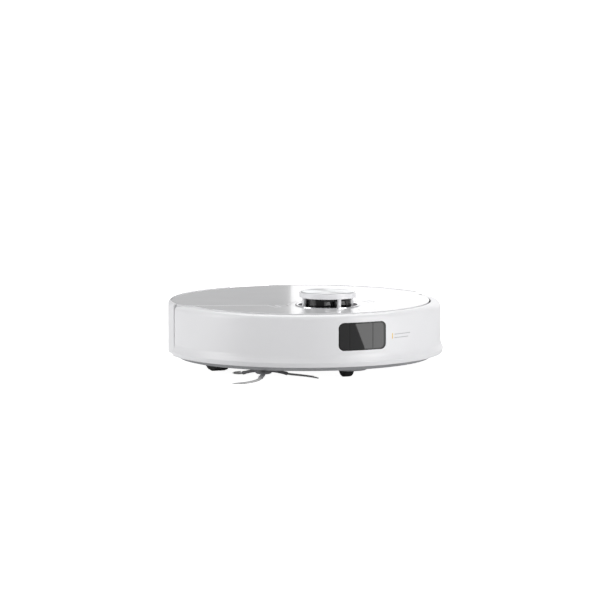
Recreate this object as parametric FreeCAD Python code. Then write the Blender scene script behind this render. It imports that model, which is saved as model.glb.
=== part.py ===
"""Round robot vacuum cleaner, modelled as an assembly of separate pieces.

Frame: millimetres, +Z up, the floor at z = 0, the body's vertical axis through the origin.
The front of the robot faces -Y. Angles round the body are counted from the front, positive towards +X.
"""

import FreeCAD, Part
import math
import os

# ---------------------------------------------------------------- driving sizes
LIP_R = 175.0            # largest radius, at the bumper's lower lip
WALL_R = 171.5           # outer radius of the side wall
DECK_TOP = 83.5          # height of the top plates
TURRET_TOP = 101.0       # height of the laser turret
SKIN = 2.2               # wall of the bumper and of the rear shell
PLATE_T = 3.0            # thickness of the top plates
PAN_BOTTOM = 13.0        # ground clearance
PAN_T = 2.5              # floor of the chassis pan
PAN_R = 163.5            # outer radius of the chassis pan
PAN_WALL = 2.0
PAN_TOP = 76.0

SEAM_GAP = 0.7           # gap between the deck and the lid
REBATE = 0.6             # step under the lid's front edge, so that it clears the deck as it swings up
REBATE_DEPTH = 1.2       # thickness left above the step
MOVE_GAP = 0.7           # gap round a piece that moves
RUN_FIT = 0.05           # radial clearance of a shaft in its bore
SNUG = 0.2               # clearance round a piece that is set into another

# bumper
BUMPER_STROKE = 3.0
BUMPER_END = 96.0        # degrees from the front
SHELL_START = 97.4       # degrees from the front
LIP_BOTTOM = 18.5
LIP_TOP = 25.6
LIP_WIDEST = 24.5
CREASE_Z = 29.9
FLARE_TOP = 33.5
BUMPER_TOP = 82.7
BUMPER_FILLET = 7.0

# top plates
FRONT_PLATE_R = 157.0
PLATE_R = 168.0
SEAM_MEETS_WALL = (172.0, 4.0)
SEAM_MIDDLE = (104.0, -22.5)
SEAM_MEETS_COLLAR_Y = -48.0
COLLAR_R = 50.0
FRAME_R = 148.0          # inner radius of the frame under the front plate
FRAME_BACK_Y = 18.5      # the frame's rear ends lie in front of this
LEDGE_R = 160.0          # inner radius of the rear shell's ledge

# front sensor window
WINDOW_X = (-33.0, 31.5)
WINDOW_Z = (38.5, 73.1)
WINDOW_CORNER = 7.0
WINDOW_SPLITS = (-18.6, 12.6)
BEZEL = 1.6
BEZEL_RIGHT = 3.0
BEZEL_RIB = 0.8

# laser turret
TURRET_Y = -68.0
TURRET_HOLE_R = 37.2
TURRET_RING_R = 40.5
CAP_R = 35.3
CAP_BAND = 7.0
POST_W = 4.5
HEAD_R = 29.5
HEAD_TOP = 92.6
NECK_R = 8.0
BIG_PULLEY_R = 20.0
SMALL_PULLEY_R = 5.0
PULLEY_Z = (71.0, 74.2)
MOTOR_X = 52.0
LIDAR_PLATE_R = 46.0

# buttons
BUTTON_X = 23.0
BUTTON_Y = -132.0
BUTTON_R = 10.0

# drive wheels
WHEEL_X = 120.5
WHEEL_R = 36.0
TYRE_W = 18.0
TYRE_INNER_R = 28.0
AXLE_R = 3.0
ARM_PIVOT_Y = -36.0
ARM_PIVOT_Z = 50.0
ARM_W = 13.5
RIM_WALL = 3.0
HUB_BOSS_R = 8.0
AXLE_DEPTH = 7.5         # how far the axle runs into the arm
SPOKES = 5
SPOKE_W = 4.4
MID_GROOVE = 1.6         # width of the groove round the middle of the tyre
TREAD_W = 3.0            # width of a cross groove
WELL_X = (93.5, 139.0)
WELL_Y = (-52.0, 44.0)
WELL_TOP = 75.8
WELL_WALL = 1.5

# caster
CASTER_Y = -132.0
CASTER_TRAIL = 10.5
CASTER_WHEEL_R = 12.0
CASTER_WHEEL_W = 12.0
CASTER_CUP_R = 26.5
CASTER_FORK_R = 24.2
CASTER_STEM_R = 4.0
CASTER_AXLE_R = 1.5
CASTER_AXLE_GRIP = 4.0   # how far the axle runs into each cheek of the fork
CASTER_CUP_TOP = 31.0
CASTER_STEM_TOP = 42.0
CASTER_FORK_Z = (10.0, 28.4)
CASTER_FORK_EDGE = 6.0
CASTER_WHEEL_EDGE = 2.0

# side brush
SIDE_X = -102.0
SIDE_Y = -98.0
SIDE_HUB_R = 11.0
SIDE_HUB_Z = (6.5, 12.2)
SIDE_REACH = 68.0
SIDE_ARM_ANGLE = 244.0   # direction of the first arm's root, degrees from +X
SIDE_ROOT_R = 31.0
SIDE_ROOT_Z = 5.2
SIDE_ROOT_SWING = 6.0    # degrees by which the arms trail behind their roots
SIDE_TIP_SWING = 31.0
SIDE_TIP_Z = 1.3
SIDE_SHAFT_R = 3.0

# main rollers
ROLLER_R = 18.6
ROLLER_CORE_R = 12.0
ROLLER_SPACING = 39.5
ROLLER_FRONT_Y = -25.75
ROLLER_Z = 26.0
ROLLER_X = (-73.0, 85.0)
ROLLER_STUB_R = 3.0
STUB_REACH = 6.0         # how far a roller's stub runs into the gear case
BRUSH_MOTOR_R = 12.0
BRUSH_MOTOR_END = (-22.0, -5.0, 63.0)   # inner end and axis height of the brush motor
DRIVE_TOP = 75.0
DRIVE_CORNER = 3.0
GUARD_BAR = 1.9          # width of the guard's front and rear bars
GUARD_TAB = 12.0
GUARD_TAB_X = (-50.0, 60.0)
FINS = 8
FIN_W = 2.6
CHAMBER_X = (-80.0, 92.0)
CHAMBER_Y = (-47.0, 35.0)
CHAMBER_TOP = 49.0
CHAMBER_WALL = 2.0
GUARD_Z = (11.5, 13.8)     # underside and top of the guard round the chamber's mouth

# dust bin and its bay
BIN_X = (-80.0, 60.0)
BIN_Y = (42.0, 132.0)
BIN_Z = (18.0, 70.0)
BIN_COVER_T = 4.0
BIN_WALL = 1.8
BAY_GAP = 1.0
BAY_WALL = 1.5
INLET_X = (-30.0, 46.0)
INLET_Z = (30.0, 46.0)
OUTLET_Y = (66.0, 104.0)
OUTLET_Z = (52.0, 66.0)
FILTER_T = 7.0

# fan
DUCT_DROP = 5.5
FAN_X = 95.0
FAN_Y = 88.0
FAN_R = 26.0
FAN_SPOUT = 20.0         # reach of the outlet from the fan's centre
FAN_Z = (17.0, 62.0)
IMPELLER_R = 20.0

# lid hinge
HINGE_Y = -56.0
HINGE_Z = 79.5
HINGE_X = 64.0
HINGE_ARM_W = 8.0
HINGE_PIN_R = 1.5
HINGE_BARREL_R = 3.2
TONGUE_SWING = 1.6       # how far a tongue's front corner swings forward as the lid opens

# battery
BATTERY_X = (-70.0, 70.0)
BATTERY_Y = (-104.0, -54.0)
BATTERY_Z = (17.0, 44.0)

# vent, dock window and finger notch in the rear shell
VENT_ANGLES = (126.0, 152.0)
VENT_Z = (34.0, 64.0)
VENT_BARS = 7
DOCK_WINDOW_Z = (40.0, 56.0)
DOCK_HALF_ANGLE = 4.5
FINGER_W = 55.0          # finger notch at the back, under the lid's edge

# screws, floor sensors, charging pads and main board
SCREW_PLACES = [(148.0, 38.0), (148.0, 100.0), (153.0, 158.0), (153.0, -158.0), (148.0, -100.0), (151.0, -28.0)]
CLIFF_PLACES = [(148.0, 22.0), (148.0, -16.0), (148.0, 62.0), (148.0, -64.0), (146.0, 140.0), (146.0, -140.0)]
CLIFF_W, CLIFF_D = 22.0, 9.0
CONTACT_X, CONTACT_Y, CONTACT_L, CONTACT_W = 28.0, 146.0, 22.0, 10.0
BOARD_X = (-90.0, 36.0)
BOARD_Y = (-120.0, -51.0)
BOARD_Z = 52.0

# tread of the tyres
TREADS = 24
TREAD_DEPTH = 2.2

# lenses of the turning head, the cap's disc and the buttons' stems
LENSES = ((-10.0, 4.5), (9.0, 5.0))
LENS_Z = 86.2
CAP_DISC_R = 33.0
BUTTON_STEM_Z = 76.2

# bail on the bin's cover
HANDLE_X = (-45.0, 25.0)
HANDLE_Y = (62.0, 92.0)
HANDLE_Z = 76.4
HANDLE_PIVOT = 1.5

DECK_BOTTOM = DECK_TOP - PLATE_T
PAN_FLOOR = PAN_BOTTOM + PAN_T
ROLLER_REAR_Y = ROLLER_FRONT_Y + ROLLER_SPACING
WELL_LIMIT = -(WELL_X[0] - 0.5)
FAR = 400.0              # larger than the whole robot, for cutting tools
BREAK_THROUGH = 1.0      # how far a cutting tool runs past a face

V = FreeCAD.Vector


# ---------------------------------------------------------------- helpers
def cyl(r, z0, z1, x=0.0, y=0.0):
    """Upright cylinder."""
    return Part.makeCylinder(r, z1 - z0, V(x, y, z0))


def cyl_x(r, x0, x1, y, z):
    """Cylinder along X."""
    return Part.makeCylinder(r, x1 - x0, V(x0, y, z), V(1, 0, 0))


def ring(r_out, r_in, z0, z1, x=0.0, y=0.0):
    """Upright tube."""
    return cyl(r_out, z0, z1, x, y).cut(cyl(r_in, z0 - BREAK_THROUGH, z1 + BREAK_THROUGH, x, y))


def block(x0, x1, y0, y1, z0, z1):
    """Box given by its limits."""
    return Part.makeBox(x1 - x0, y1 - y0, z1 - z0, V(x0, y0, z0))


def polar(r, degrees):
    """Point at a radius and an angle counted from the front."""
    a = math.radians(degrees)
    return r * math.sin(a), -r * math.cos(a)


def sector(points, start, end):
    """Closed (radius, height) outline turned about Z from one angle to another, counted from the front."""
    corners = [V(r, 0, z) for r, z in points]
    face = Part.Face(Part.makePolygon(corners + corners[:1]))
    face.rotate(V(0, 0, 0), V(0, 0, 1), start - 90.0)
    return face.revolve(V(0, 0, 0), V(0, 0, 1), end - start)


def rect_sector(r_in, r_out, z0, z1, start, end):
    """Piece of an upright tube between two angles."""
    return sector([(r_in, z0), (r_out, z0), (r_out, z1), (r_in, z1)], start, end)


def prism(points, z0, z1):
    """Upright prism on a polygon of (x, y) corners."""
    corners = [V(x, y, z0) for x, y in points]
    return Part.Face(Part.makePolygon(corners + corners[:1])).extrude(V(0, 0, z1 - z0))


def rounded_y(x0, x1, z0, z1, r, y0, y1):
    """Prism along Y whose section is a rectangle with rounded corners."""
    solid = block(x0, x1, y0, y1, z0, z1)
    edges = [e for e in solid.Edges if abs(e.tangentAt(e.FirstParameter).y) > 0.9]
    return solid.makeFillet(r, edges)


def rounded_z(x0, x1, y0, y1, z0, z1, r):
    """Upright box with rounded vertical edges."""
    solid = block(x0, x1, y0, y1, z0, z1)
    edges = [e for e in solid.Edges if abs(e.tangentAt(e.FirstParameter).z) > 0.9]
    return solid.makeFillet(r, edges)


def fuse(first, *others):
    """One solid out of several touching ones, with the seams between them removed."""
    return first.multiFuse(list(others)).removeSplitter()


def cut(first, *others):
    """A solid less several others."""
    return first.cut(Part.makeCompound(list(others)))


def mirrored(shape):
    """The same shape on the robot's other side."""
    return shape.mirror(V(0, 0, 0), V(1, 0, 0))


def group(*shapes):
    """Several separate solids kept as one node."""
    return Part.makeCompound([s for shape in shapes for s in shape.Solids])


def export(name, shape):
    """Writes one node. A compound keeps its solids apart, and a lone solid is written as a solid."""
    solids = shape.Solids
    if not solids or not shape.isValid():
        raise ValueError(name + " is not a valid solid")
    out = solids[0] if len(solids) == 1 else Part.makeCompound(solids)
    out.exportStep("parts/" + name + ".step")


# ---------------------------------------------------------------- top plates
def seam_arc(shift):
    """The seam on the +X side as an arc, moved along Y by shift."""
    meet_x = math.sqrt(COLLAR_R ** 2 - (SEAM_MEETS_COLLAR_Y - TURRET_Y) ** 2)
    points = [(meet_x, SEAM_MEETS_COLLAR_Y), SEAM_MIDDLE, SEAM_MEETS_WALL]
    return [V(x, y + shift, 0) for x, y in points]


def seam_region(shift, y_far, z0, z1):
    """Prism of everything between the seam and a line y = y_far."""
    a, b, c = seam_arc(shift)
    am, bm, cm = [V(-p.x, p.y, 0) for p in (a, b, c)]
    edges = [Part.Arc(a, b, c).toShape(), Part.makeLine(c, V(FAR, c.y, 0)),
             Part.makeLine(V(FAR, c.y, 0), V(FAR, y_far, 0)),
             Part.makeLine(V(FAR, y_far, 0), V(-FAR, y_far, 0)),
             Part.makeLine(V(-FAR, y_far, 0), V(-FAR, c.y, 0)),
             Part.makeLine(V(-FAR, c.y, 0), cm), Part.Arc(cm, bm, am).toShape(), Part.makeLine(am, a)]
    face = Part.Face(Part.Wire(edges))
    solid = face.extrude(V(0, 0, z1 - z0))
    solid.translate(V(0, 0, z0))
    return solid


def plate(radius, front_radius, z0, z1):
    """Outline of the whole top: small radius in front, where the bumper's rim lies, and large behind."""
    flare = polar(FRONT_PLATE_R, 87.0)
    flare_end = polar(PLATE_R, 95.5)
    slope = (flare_end[1] - flare[1]) / (flare_end[0] - flare[0])
    far_y = flare[1] + (FAR - flare[0]) * slope
    behind = [flare, (FAR, far_y), (-FAR, far_y), (-flare[0], flare[1])]
    return fuse(cyl(front_radius, z0, z1), cyl(radius, z0, z1).common(prism(behind, z0, z1)))


def hinge_slots(z0, z1, grow, swing=0.0):
    """The places of the two hinge tongues, as boxes grown by a clearance, and in front by their swing too."""
    half = HINGE_ARM_W / 2 + grow
    front = HINGE_Y - HINGE_BARREL_R - grow - swing
    rear = SEAM_MIDDLE[1]
    return [block(s * HINGE_X - half, s * HINGE_X + half, front, rear, z0, z1) for s in (-1, 1)]


def top_deck():
    """The fixed plate in front, with holes for the turret and the two buttons."""
    z0, z1 = DECK_BOTTOM, DECK_TOP
    front = plate(PLATE_R, FRONT_PLATE_R, z0, z1).common(seam_region(-SEAM_GAP / 2, -FAR, z0, z1))
    deck = fuse(front, cyl(COLLAR_R, z0, z1, 0, TURRET_Y))
    holes = [cyl(TURRET_HOLE_R, z0 - 1, z1 + 1, 0, TURRET_Y)]
    holes += [cyl(BUTTON_R + SNUG * 2, z0 - 1, z1 + 1, s * BUTTON_X, BUTTON_Y) for s in (-1, 1)]
    return cut(deck, *holes, *hinge_slots(z0 - 1, z1 + 1, MOVE_GAP, TONGUE_SWING))


def edge_round(solid, z, size):
    """Rounds the edges that lie at height z."""
    edges = [e for e in solid.Edges if abs(e.BoundBox.ZMin - z) < 0.01 and abs(e.BoundBox.ZMax - z) < 0.01]
    return solid.makeFillet(size, edges)


def lid_panel():
    """The glossy rear plate that lifts, with the tongues over its hinges and a rib ring beneath."""
    z0, z1 = DECK_BOTTOM, DECK_TOP
    step = z1 - REBATE_DEPTH
    whole = plate(PLATE_R - SNUG * 2, FRONT_PLATE_R, z0, z1)
    upper = whole.common(seam_region(SEAM_GAP / 2, FAR, step, z1))
    lower = whole.common(seam_region(SEAM_GAP / 2 + REBATE, FAR, z0, step))
    lid = cut(fuse(upper, lower), cyl(COLLAR_R + SEAM_GAP, z0 - 1, z1 + 1, 0, TURRET_Y))
    lid = fuse(lid, *hinge_slots(z0, z1, 0.0))
    grip = block(-FINGER_W / 2, FINGER_W / 2, PLATE_R - 14.0, PLATE_R - 12.5, z0 - 1.2, z0)
    bore = cyl_x(HINGE_PIN_R + RUN_FIT, -HINGE_X - HINGE_ARM_W, HINGE_X + HINGE_ARM_W, HINGE_Y, HINGE_Z)
    gap = block(-HINGE_X + HINGE_ARM_W, HINGE_X - HINGE_ARM_W, -FAR, FAR, 0, FAR)
    return fuse(lid, grip, *lid_hinges()).cut(bore.cut(gap))


def deck_frame():
    """Dark frame under the front plate and under the bumper's rim."""
    low = rect_sector(FRAME_R, PAN_R + 0.5, PAN_TOP, DECK_BOTTOM - 1.2, -BUMPER_END, BUMPER_END)
    high = rect_sector(FRAME_R, FRONT_PLATE_R - 0.5, PAN_TOP, DECK_BOTTOM, -84.0, 84.0)
    return fuse(low, high)


# ---------------------------------------------------------------- bumper and rear shell
def bumper_outline():
    """Half section of the bumper: lip, crease, wall, rounded top edge and rim."""
    inner = WALL_R - SKIN
    bend = math.radians(45.0)
    cx, cz = WALL_R - BUMPER_FILLET, BUMPER_TOP - BUMPER_FILLET
    mid = (cx + BUMPER_FILLET * math.cos(bend), cz + BUMPER_FILLET * math.sin(bend))
    ri = BUMPER_FILLET - SKIN
    mid_in = (cx + ri * math.cos(bend), cz + ri * math.sin(bend))
    lines = [(inner, LIP_BOTTOM + 2.0), (inner, LIP_BOTTOM), (LIP_R - 1.6, LIP_BOTTOM),
             (LIP_R, LIP_WIDEST), (LIP_R - 0.8, LIP_TOP), (WALL_R + 0.8, CREASE_Z),
             (WALL_R, FLARE_TOP), (WALL_R, cz)]
    return lines, mid, (cx, BUMPER_TOP), (cx, BUMPER_TOP - SKIN), mid_in, (inner, cz)


def bumper_body():
    """The bumper's wall and rim turned round the front."""
    lines, mid, top, under, mid_in, inner_top = bumper_outline()
    rim_r = FRONT_PLATE_R - 6.0
    pts = [V(r, 0, z) for r, z in lines]
    up = [V(r, 0, z) for r, z in (mid, top, (rim_r, BUMPER_TOP), (rim_r, BUMPER_TOP - SKIN), under,
                                  mid_in, inner_top)]
    edges = [Part.makeLine(a, b) for a, b in zip(pts, pts[1:])]
    edges.append(Part.Arc(pts[-1], up[0], up[1]).toShape())
    edges += [Part.makeLine(up[1], up[2]), Part.makeLine(up[2], up[3]), Part.makeLine(up[3], up[4])]
    edges.append(Part.Arc(up[4], up[5], up[6]).toShape())
    edges.append(Part.makeLine(up[6], pts[0]))
    face = Part.Face(Part.Wire(edges))
    face.rotate(V(0, 0, 0), V(0, 0, 1), -BUMPER_END - 90.0)
    return face.revolve(V(0, 0, 0), V(0, 0, 1), 2 * BUMPER_END)


def bumper_shell():
    """Bumper with its window opening; the rim stops short of the deck by the bumper's travel."""
    body = bumper_body()
    z0, z1 = BUMPER_TOP - BUMPER_FILLET, DECK_TOP + 2
    inner_edge = cyl(FRONT_PLATE_R + SEAM_GAP, z0, z1, 0, -BUMPER_STROKE - 0.2)
    c = polar(FRONT_PLATE_R + SEAM_GAP, 84.0)
    d = polar(PLATE_R + 1.0, 93.0)
    behind = prism([c, d, (d[0], 60.0), (100.0, 60.0), (100.0, c[1])], z0, z1)
    ends = behind.common(cyl(PLATE_R + 0.8, z0, z1))
    window = rounded_y(*WINDOW_X, *WINDOW_Z, WINDOW_CORNER, -LIP_R - 5, -150.0)
    return cut(body, inner_edge, ends, mirrored(ends), window)


def window_parts():
    """The bezel with its ribs, and the three dark panes that it holds."""
    x0, x1 = WINDOW_X
    z0, z1 = WINDOW_Z
    y0, y1 = -LIP_R - 5, -150.0
    skin = ring(WALL_R, WALL_R - SKIN, z0 - 5, z1 + 5)
    frame = skin.common(rounded_y(x0, x1, z0, z1, WINDOW_CORNER, y0, y1))
    opening = rounded_y(x0 + BEZEL, x1 - BEZEL_RIGHT, z0 + BEZEL, z1 - BEZEL, WINDOW_CORNER - BEZEL, y0, y1)
    ribs = [block(x - BEZEL_RIB / 2, x + BEZEL_RIB / 2, y0, y1, z0, z1) for x in WINDOW_SPLITS]
    pane_room = cut(opening, *ribs)
    pane = ring(WALL_R - 0.15, WALL_R - SKIN + 0.4, z0, z1).common(pane_room)
    bezel = frame.cut(pane_room)
    return bezel, pane


def print_marks():
    """Plain bars that stand for the small print beside the window: one coloured, two grey."""
    lift = 0.1
    tick = rect_sector(WALL_R, WALL_R + lift, 49.9, 56.8, 13.8, 14.2)
    bars = [rect_sector(WALL_R, WALL_R + lift, z, z + 0.9, 15.1, end) for z, end in ((54.9, 24.4), (50.6, 23.2))]
    return group(tick, *bars)


def rear_shell():
    """Fixed wall behind the bumper, with a rounded rim, a ledge under the lid and a window for the vent."""
    inner = WALL_R - SKIN
    fillet = 5.0
    rim_in = PLATE_R + 0.3
    cx, cz = WALL_R - fillet, DECK_TOP + 1.0 - fillet
    rim_z = cz + math.sqrt(fillet ** 2 - (rim_in - cx) ** 2)
    half = math.radians(30.0)
    a, b = V(WALL_R, 0, cz), V(rim_in, 0, rim_z)
    mid = V(cx + fillet * math.cos(half), 0, cz + fillet * math.sin(half))
    ledge = DECK_BOTTOM - MOVE_GAP
    pts = [b, V(rim_in, 0, ledge), V(LEDGE_R, 0, ledge), V(LEDGE_R, 0, PAN_TOP + SNUG), V(inner, 0, PAN_TOP + SNUG),
           V(inner, 0, 20.0), V(WALL_R, 0, 20.0), a]
    edges = [Part.Arc(a, mid, b).toShape()] + [Part.makeLine(p, q) for p, q in zip(pts, pts[1:])]
    face = Part.Face(Part.Wire(edges))
    face.rotate(V(0, 0, 0), V(0, 0, 1), SHELL_START - 90.0)
    shell = face.revolve(V(0, 0, 0), V(0, 0, 1), 360.0 - 2 * SHELL_START)
    vent = rect_sector(inner - 5, WALL_R + 5, *VENT_Z, *VENT_ANGLES)
    dock = rect_sector(inner - 5, WALL_R + 5, *DOCK_WINDOW_Z, 180 - DOCK_HALF_ANGLE, 180 + DOCK_HALF_ANGLE)
    notch = block(-FINGER_W / 2, FINGER_W / 2, PLATE_R - 6, LIP_R, DECK_BOTTOM - 2.2, DECK_TOP + 5)
    notch = notch.cut(cyl(PLATE_R - 4.0, 0, FAR))
    return cut(shell, vent, dock, notch)


def exhaust_grille():
    """Louvred insert that lets the fan's air out at the back."""
    lo, hi = VENT_ANGLES[0] + 0.1, VENT_ANGLES[1] - 0.1
    z0, z1 = VENT_Z[0] + SNUG, VENT_Z[1] - SNUG
    r_in, r_out = WALL_R - SKIN, WALL_R - 0.3
    edge = 0.7
    opening = rect_sector(r_in - 5, r_out + 5, z0 + 2, z1 - 2, lo + edge, hi - edge)
    frame = rect_sector(r_in, r_out, z0, z1, lo, hi).cut(opening)
    pitch = (z1 - z0 - 4) / VENT_BARS
    bars = [rect_sector(r_in, r_out, z0 + 2 + pitch * (i + 0.35), z0 + 2 + pitch * (i + 0.75), lo, hi)
            for i in range(VENT_BARS)]
    return fuse(frame, *bars)


def dock_window():
    """Dark pane at the back for the infrared beam of the dock."""
    half = DOCK_HALF_ANGLE - 0.07
    return rect_sector(WALL_R - SKIN, WALL_R - 0.2, DOCK_WINDOW_Z[0] + SNUG, DOCK_WINDOW_Z[1] - SNUG,
                       180 - half, 180 + half)


# ---------------------------------------------------------------- chassis


def slot_at(r, angle, length, width, z0, z1):
    """Rounded bar lying across a radius of the body."""
    bar = rounded_z(-length / 2, length / 2, -width / 2, width / 2, z0, z1, width / 2 - 0.05)
    bar.rotate(V(0, 0, 0), V(0, 0, 1), angle)
    x, y = polar(r, angle)
    bar.translate(V(x, y, 0))
    return bar


def board_posts():
    """Where the main board stands on the chassis."""
    inset = 5.0
    return [(x, y) for x in (BOARD_X[0] + inset, BOARD_X[1] - inset)
            for y in (BOARD_Y[0] + inset, BOARD_Y[1] - inset)]


def chassis_pan():
    """Bottom pan: floor, low wall, and openings for everything that reaches the ground."""
    outer = sector([(0, PAN_BOTTOM), (PAN_R - 4, PAN_BOTTOM), (PAN_R, PAN_BOTTOM + 4), (PAN_R, PAN_TOP),
                    (0, PAN_TOP)], 0, 360)
    hollow = cyl(PAN_R - PAN_WALL, PAN_FLOOR, PAN_TOP + 1)
    ledge = sector([(PAN_R - 1, 16.0), (PAN_R + 1.5, 16.0), (WALL_R - SKIN - SNUG, 19.5),
                    (WALL_R - SKIN - SNUG, 22.0), (PAN_R - 1, 22.0)], SHELL_START, 360 - SHELL_START)
    posts = [cyl(3.5, PAN_FLOOR - 1, BOARD_Z, x, y) for x, y in board_posts()
             if abs(x) > abs(BATTERY_X[0]) or y < BATTERY_Y[0] - 4]
    pan = fuse(outer.cut(hollow), ledge, *posts)
    low, high = PAN_BOTTOM - 1, PAN_FLOOR + 0.5
    cx0, cx1 = CHAMBER_X
    cy0, cy1 = CHAMBER_Y
    tools = [block(cx0 - SNUG, cx1 + SNUG, cy0 - SNUG, cy1 + SNUG, low, high),
             cyl(CASTER_CUP_R + SNUG, low, high, 0, CASTER_Y), cyl(SIDE_SHAFT_R + 2, low, high, SIDE_X, SIDE_Y),
             block(BATTERY_X[0] - 2, BATTERY_X[1] + 2, BATTERY_Y[0] - 1, BATTERY_Y[1] + 1, low, high)]
    for s in (-1, 1):
        x0, x1 = sorted((s * WELL_X[0], s * WELL_X[1]))
        tools.append(block(x0 - SNUG, x1 + SNUG, WELL_Y[0] - SNUG, WELL_Y[1] + SNUG, low, high))
        tools.append(block(s * CONTACT_X - CONTACT_L / 2 - SNUG, s * CONTACT_X + CONTACT_L / 2 + SNUG,
                           CONTACT_Y - CONTACT_W / 2 - SNUG, CONTACT_Y + CONTACT_W / 2 + SNUG, low, high))
    tools += [slot_at(r, a, CLIFF_W + 2 * SNUG, CLIFF_D + 2 * SNUG, low, high) for r, a in CLIFF_PLACES]
    for r, a in SCREW_PLACES:
        x, y = polar(r, a)
        tools += [cyl(1.6, low, high, x, y), cyl(3.6, low, PAN_BOTTOM + 1.2, x, y)]
    tools.append(rect_sector(PAN_R - 5, PAN_R + 3, VENT_Z[0] + 2, VENT_Z[1] - 6, VENT_ANGLES[0] + 2,
                             VENT_ANGLES[1] - 4))
    tools.append(rounded_y(WINDOW_X[0] + 2, WINDOW_X[1] - 2, WINDOW_Z[0] + 2, WINDOW_Z[1] - 2, 4, -170, -150))
    return cut(pan, *tools)


def chassis_screws():
    """Pan-head screws sunk into the underside."""
    out = []
    for r, a in SCREW_PLACES:
        x, y = polar(r, a)
        screw = fuse(cyl(3.3, PAN_BOTTOM - 0.1, PAN_BOTTOM + 1.2, x, y), cyl(1.4, PAN_BOTTOM + 1, 21.0, x, y))
        slots = [block(x - 1.8, x + 1.8, y - 0.4, y + 0.4, 12.0, 13.5), block(x - 0.4, x + 0.4, y - 1.8, y + 1.8,
                                                                            12.0, 13.5)]
        out.append(cut(screw, *slots))
    return group(*out)


def brush_chamber():
    """Upturned trough round the two rollers, with bores for their stubs and a slot to the bin."""
    x0, x1 = CHAMBER_X
    y0, y1 = CHAMBER_Y
    w = CHAMBER_WALL
    body = block(x0, x1, y0, y1, PAN_BOTTOM, CHAMBER_TOP)
    body = body.cut(block(x0 + w, x1 - w, y0 + w, y1 - w, PAN_BOTTOM - 1, CHAMBER_TOP - w))
    inlet = block(*INLET_X, y1 - w - 1, y1 + 1, *INLET_Z)
    bores = [cyl_x(ROLLER_STUB_R + RUN_FIT, x0 - 1, x1 + 1, y, ROLLER_Z) for y in (ROLLER_FRONT_Y, ROLLER_REAR_Y)]
    return fuse(cut(body, inlet, *bores), suction_throat())


def roller(y, turn):
    """Rubber roller with straight fins on a core and a stub at each end."""
    x0, x1 = ROLLER_X
    core = cyl_x(ROLLER_CORE_R, x0, x1, y, ROLLER_Z)
    fins = []
    for i in range(FINS):
        fin = block(x0 + 1, x1 - 1, -FIN_W / 2, FIN_W / 2, ROLLER_CORE_R - 1, ROLLER_R)
        fin.rotate(V(0, 0, 0), V(1, 0, 0), turn + i * 360.0 / FINS)
        fin.translate(V(0, y, ROLLER_Z))
        fins.append(fin)
    stub = cyl_x(ROLLER_STUB_R, CHAMBER_X[0] - STUB_REACH, CHAMBER_X[1], y, ROLLER_Z)
    return fuse(core, stub, *fins)


def brush_drive():
    """Gear case and motor that turn the rollers."""
    case = rounded_z(WELL_LIMIT, CHAMBER_X[0] - SNUG, CHAMBER_Y[0], CHAMBER_Y[1], PAN_FLOOR + SNUG,
                     DRIVE_TOP, DRIVE_CORNER)
    motor = cyl_x(BRUSH_MOTOR_R, CHAMBER_X[0] - 1, *BRUSH_MOTOR_END)
    bores = [cyl_x(ROLLER_STUB_R + RUN_FIT, CHAMBER_X[0] - STUB_REACH - 0.5, CHAMBER_X[0] + 1, y, ROLLER_Z)
             for y in (ROLLER_FRONT_Y, ROLLER_REAR_Y)]
    return cut(fuse(case, motor), *bores)


def brush_guard():
    """Snap-in frame round the mouth of the brush chamber, hinged along its rear edge."""
    w = CHAMBER_WALL + MOVE_GAP
    x0, x1 = CHAMBER_X[0] + w, CHAMBER_X[1] - w
    y0, y1 = CHAMBER_Y[0] + w, CHAMBER_Y[1] - w
    z0, z1 = GUARD_Z
    r = (z1 - z0) / 2
    frame = fuse(block(x0, x1, y0, y1 - r, z0, z1), cyl_x(r, x0, x1, y1 - r, z0 + r))
    hole = block(ROLLER_X[0] - 1, ROLLER_X[1] + 1, y0 + GUARD_BAR, y1 - GUARD_BAR, 0, ROLLER_Z)
    tabs = [block(x - GUARD_TAB / 2, x + GUARD_TAB / 2, y0, y0 + 1.2, z0 - 0.8, z0 + 0.5) for x in GUARD_TAB_X]
    return fuse(frame.cut(hole), *tabs)


def wheel_well(side):
    """Box over a drive wheel, open to the floor, with the bore of the arm's pivot."""
    x0, x1 = WELL_X
    y0, y1 = WELL_Y
    w = WELL_WALL
    well = block(x0, x1, y0, y1, PAN_BOTTOM, WELL_TOP)
    well = well.cut(block(x0 + w, x1 - w, y0 + w, y1 - w, PAN_BOTTOM - 1, WELL_TOP - w))
    well = well.cut(cyl_x(AXLE_R + RUN_FIT, x0 - 1, x0 + w + 1, ARM_PIVOT_Y, ARM_PIVOT_Z))
    return well if side > 0 else mirrored(well)


def wheel_arm(side):
    """Gearbox arm between its pivot and the wheel's axle."""
    x0 = WELL_X[0] + WELL_WALL + 0.5
    x1 = x0 + ARM_W
    big = cyl_x(15.0, x0, x1, 0.0, WHEEL_R)
    small = cyl_x(9.5, x0, x1, ARM_PIVOT_Y, ARM_PIVOT_Z)
    length = math.hypot(ARM_PIVOT_Y, ARM_PIVOT_Z - WHEEL_R)
    web = block(x0, x1, -length, 0.0, -9.0, 9.0)
    web.rotate(V(0, 0, 0), V(1, 0, 0), -math.degrees(math.atan2(ARM_PIVOT_Z - WHEEL_R, -ARM_PIVOT_Y)))
    web.translate(V(0, 0, WHEEL_R))
    pin = cyl_x(AXLE_R, WELL_X[0] + 0.1, x0 + 1, ARM_PIVOT_Y, ARM_PIVOT_Z)
    arm = fuse(big, small, web, pin)
    arm = arm.cut(cyl_x(AXLE_R + RUN_FIT, x1 - 8, x1 + 1, 0.0, WHEEL_R))
    return arm if side > 0 else mirrored(arm)


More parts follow.
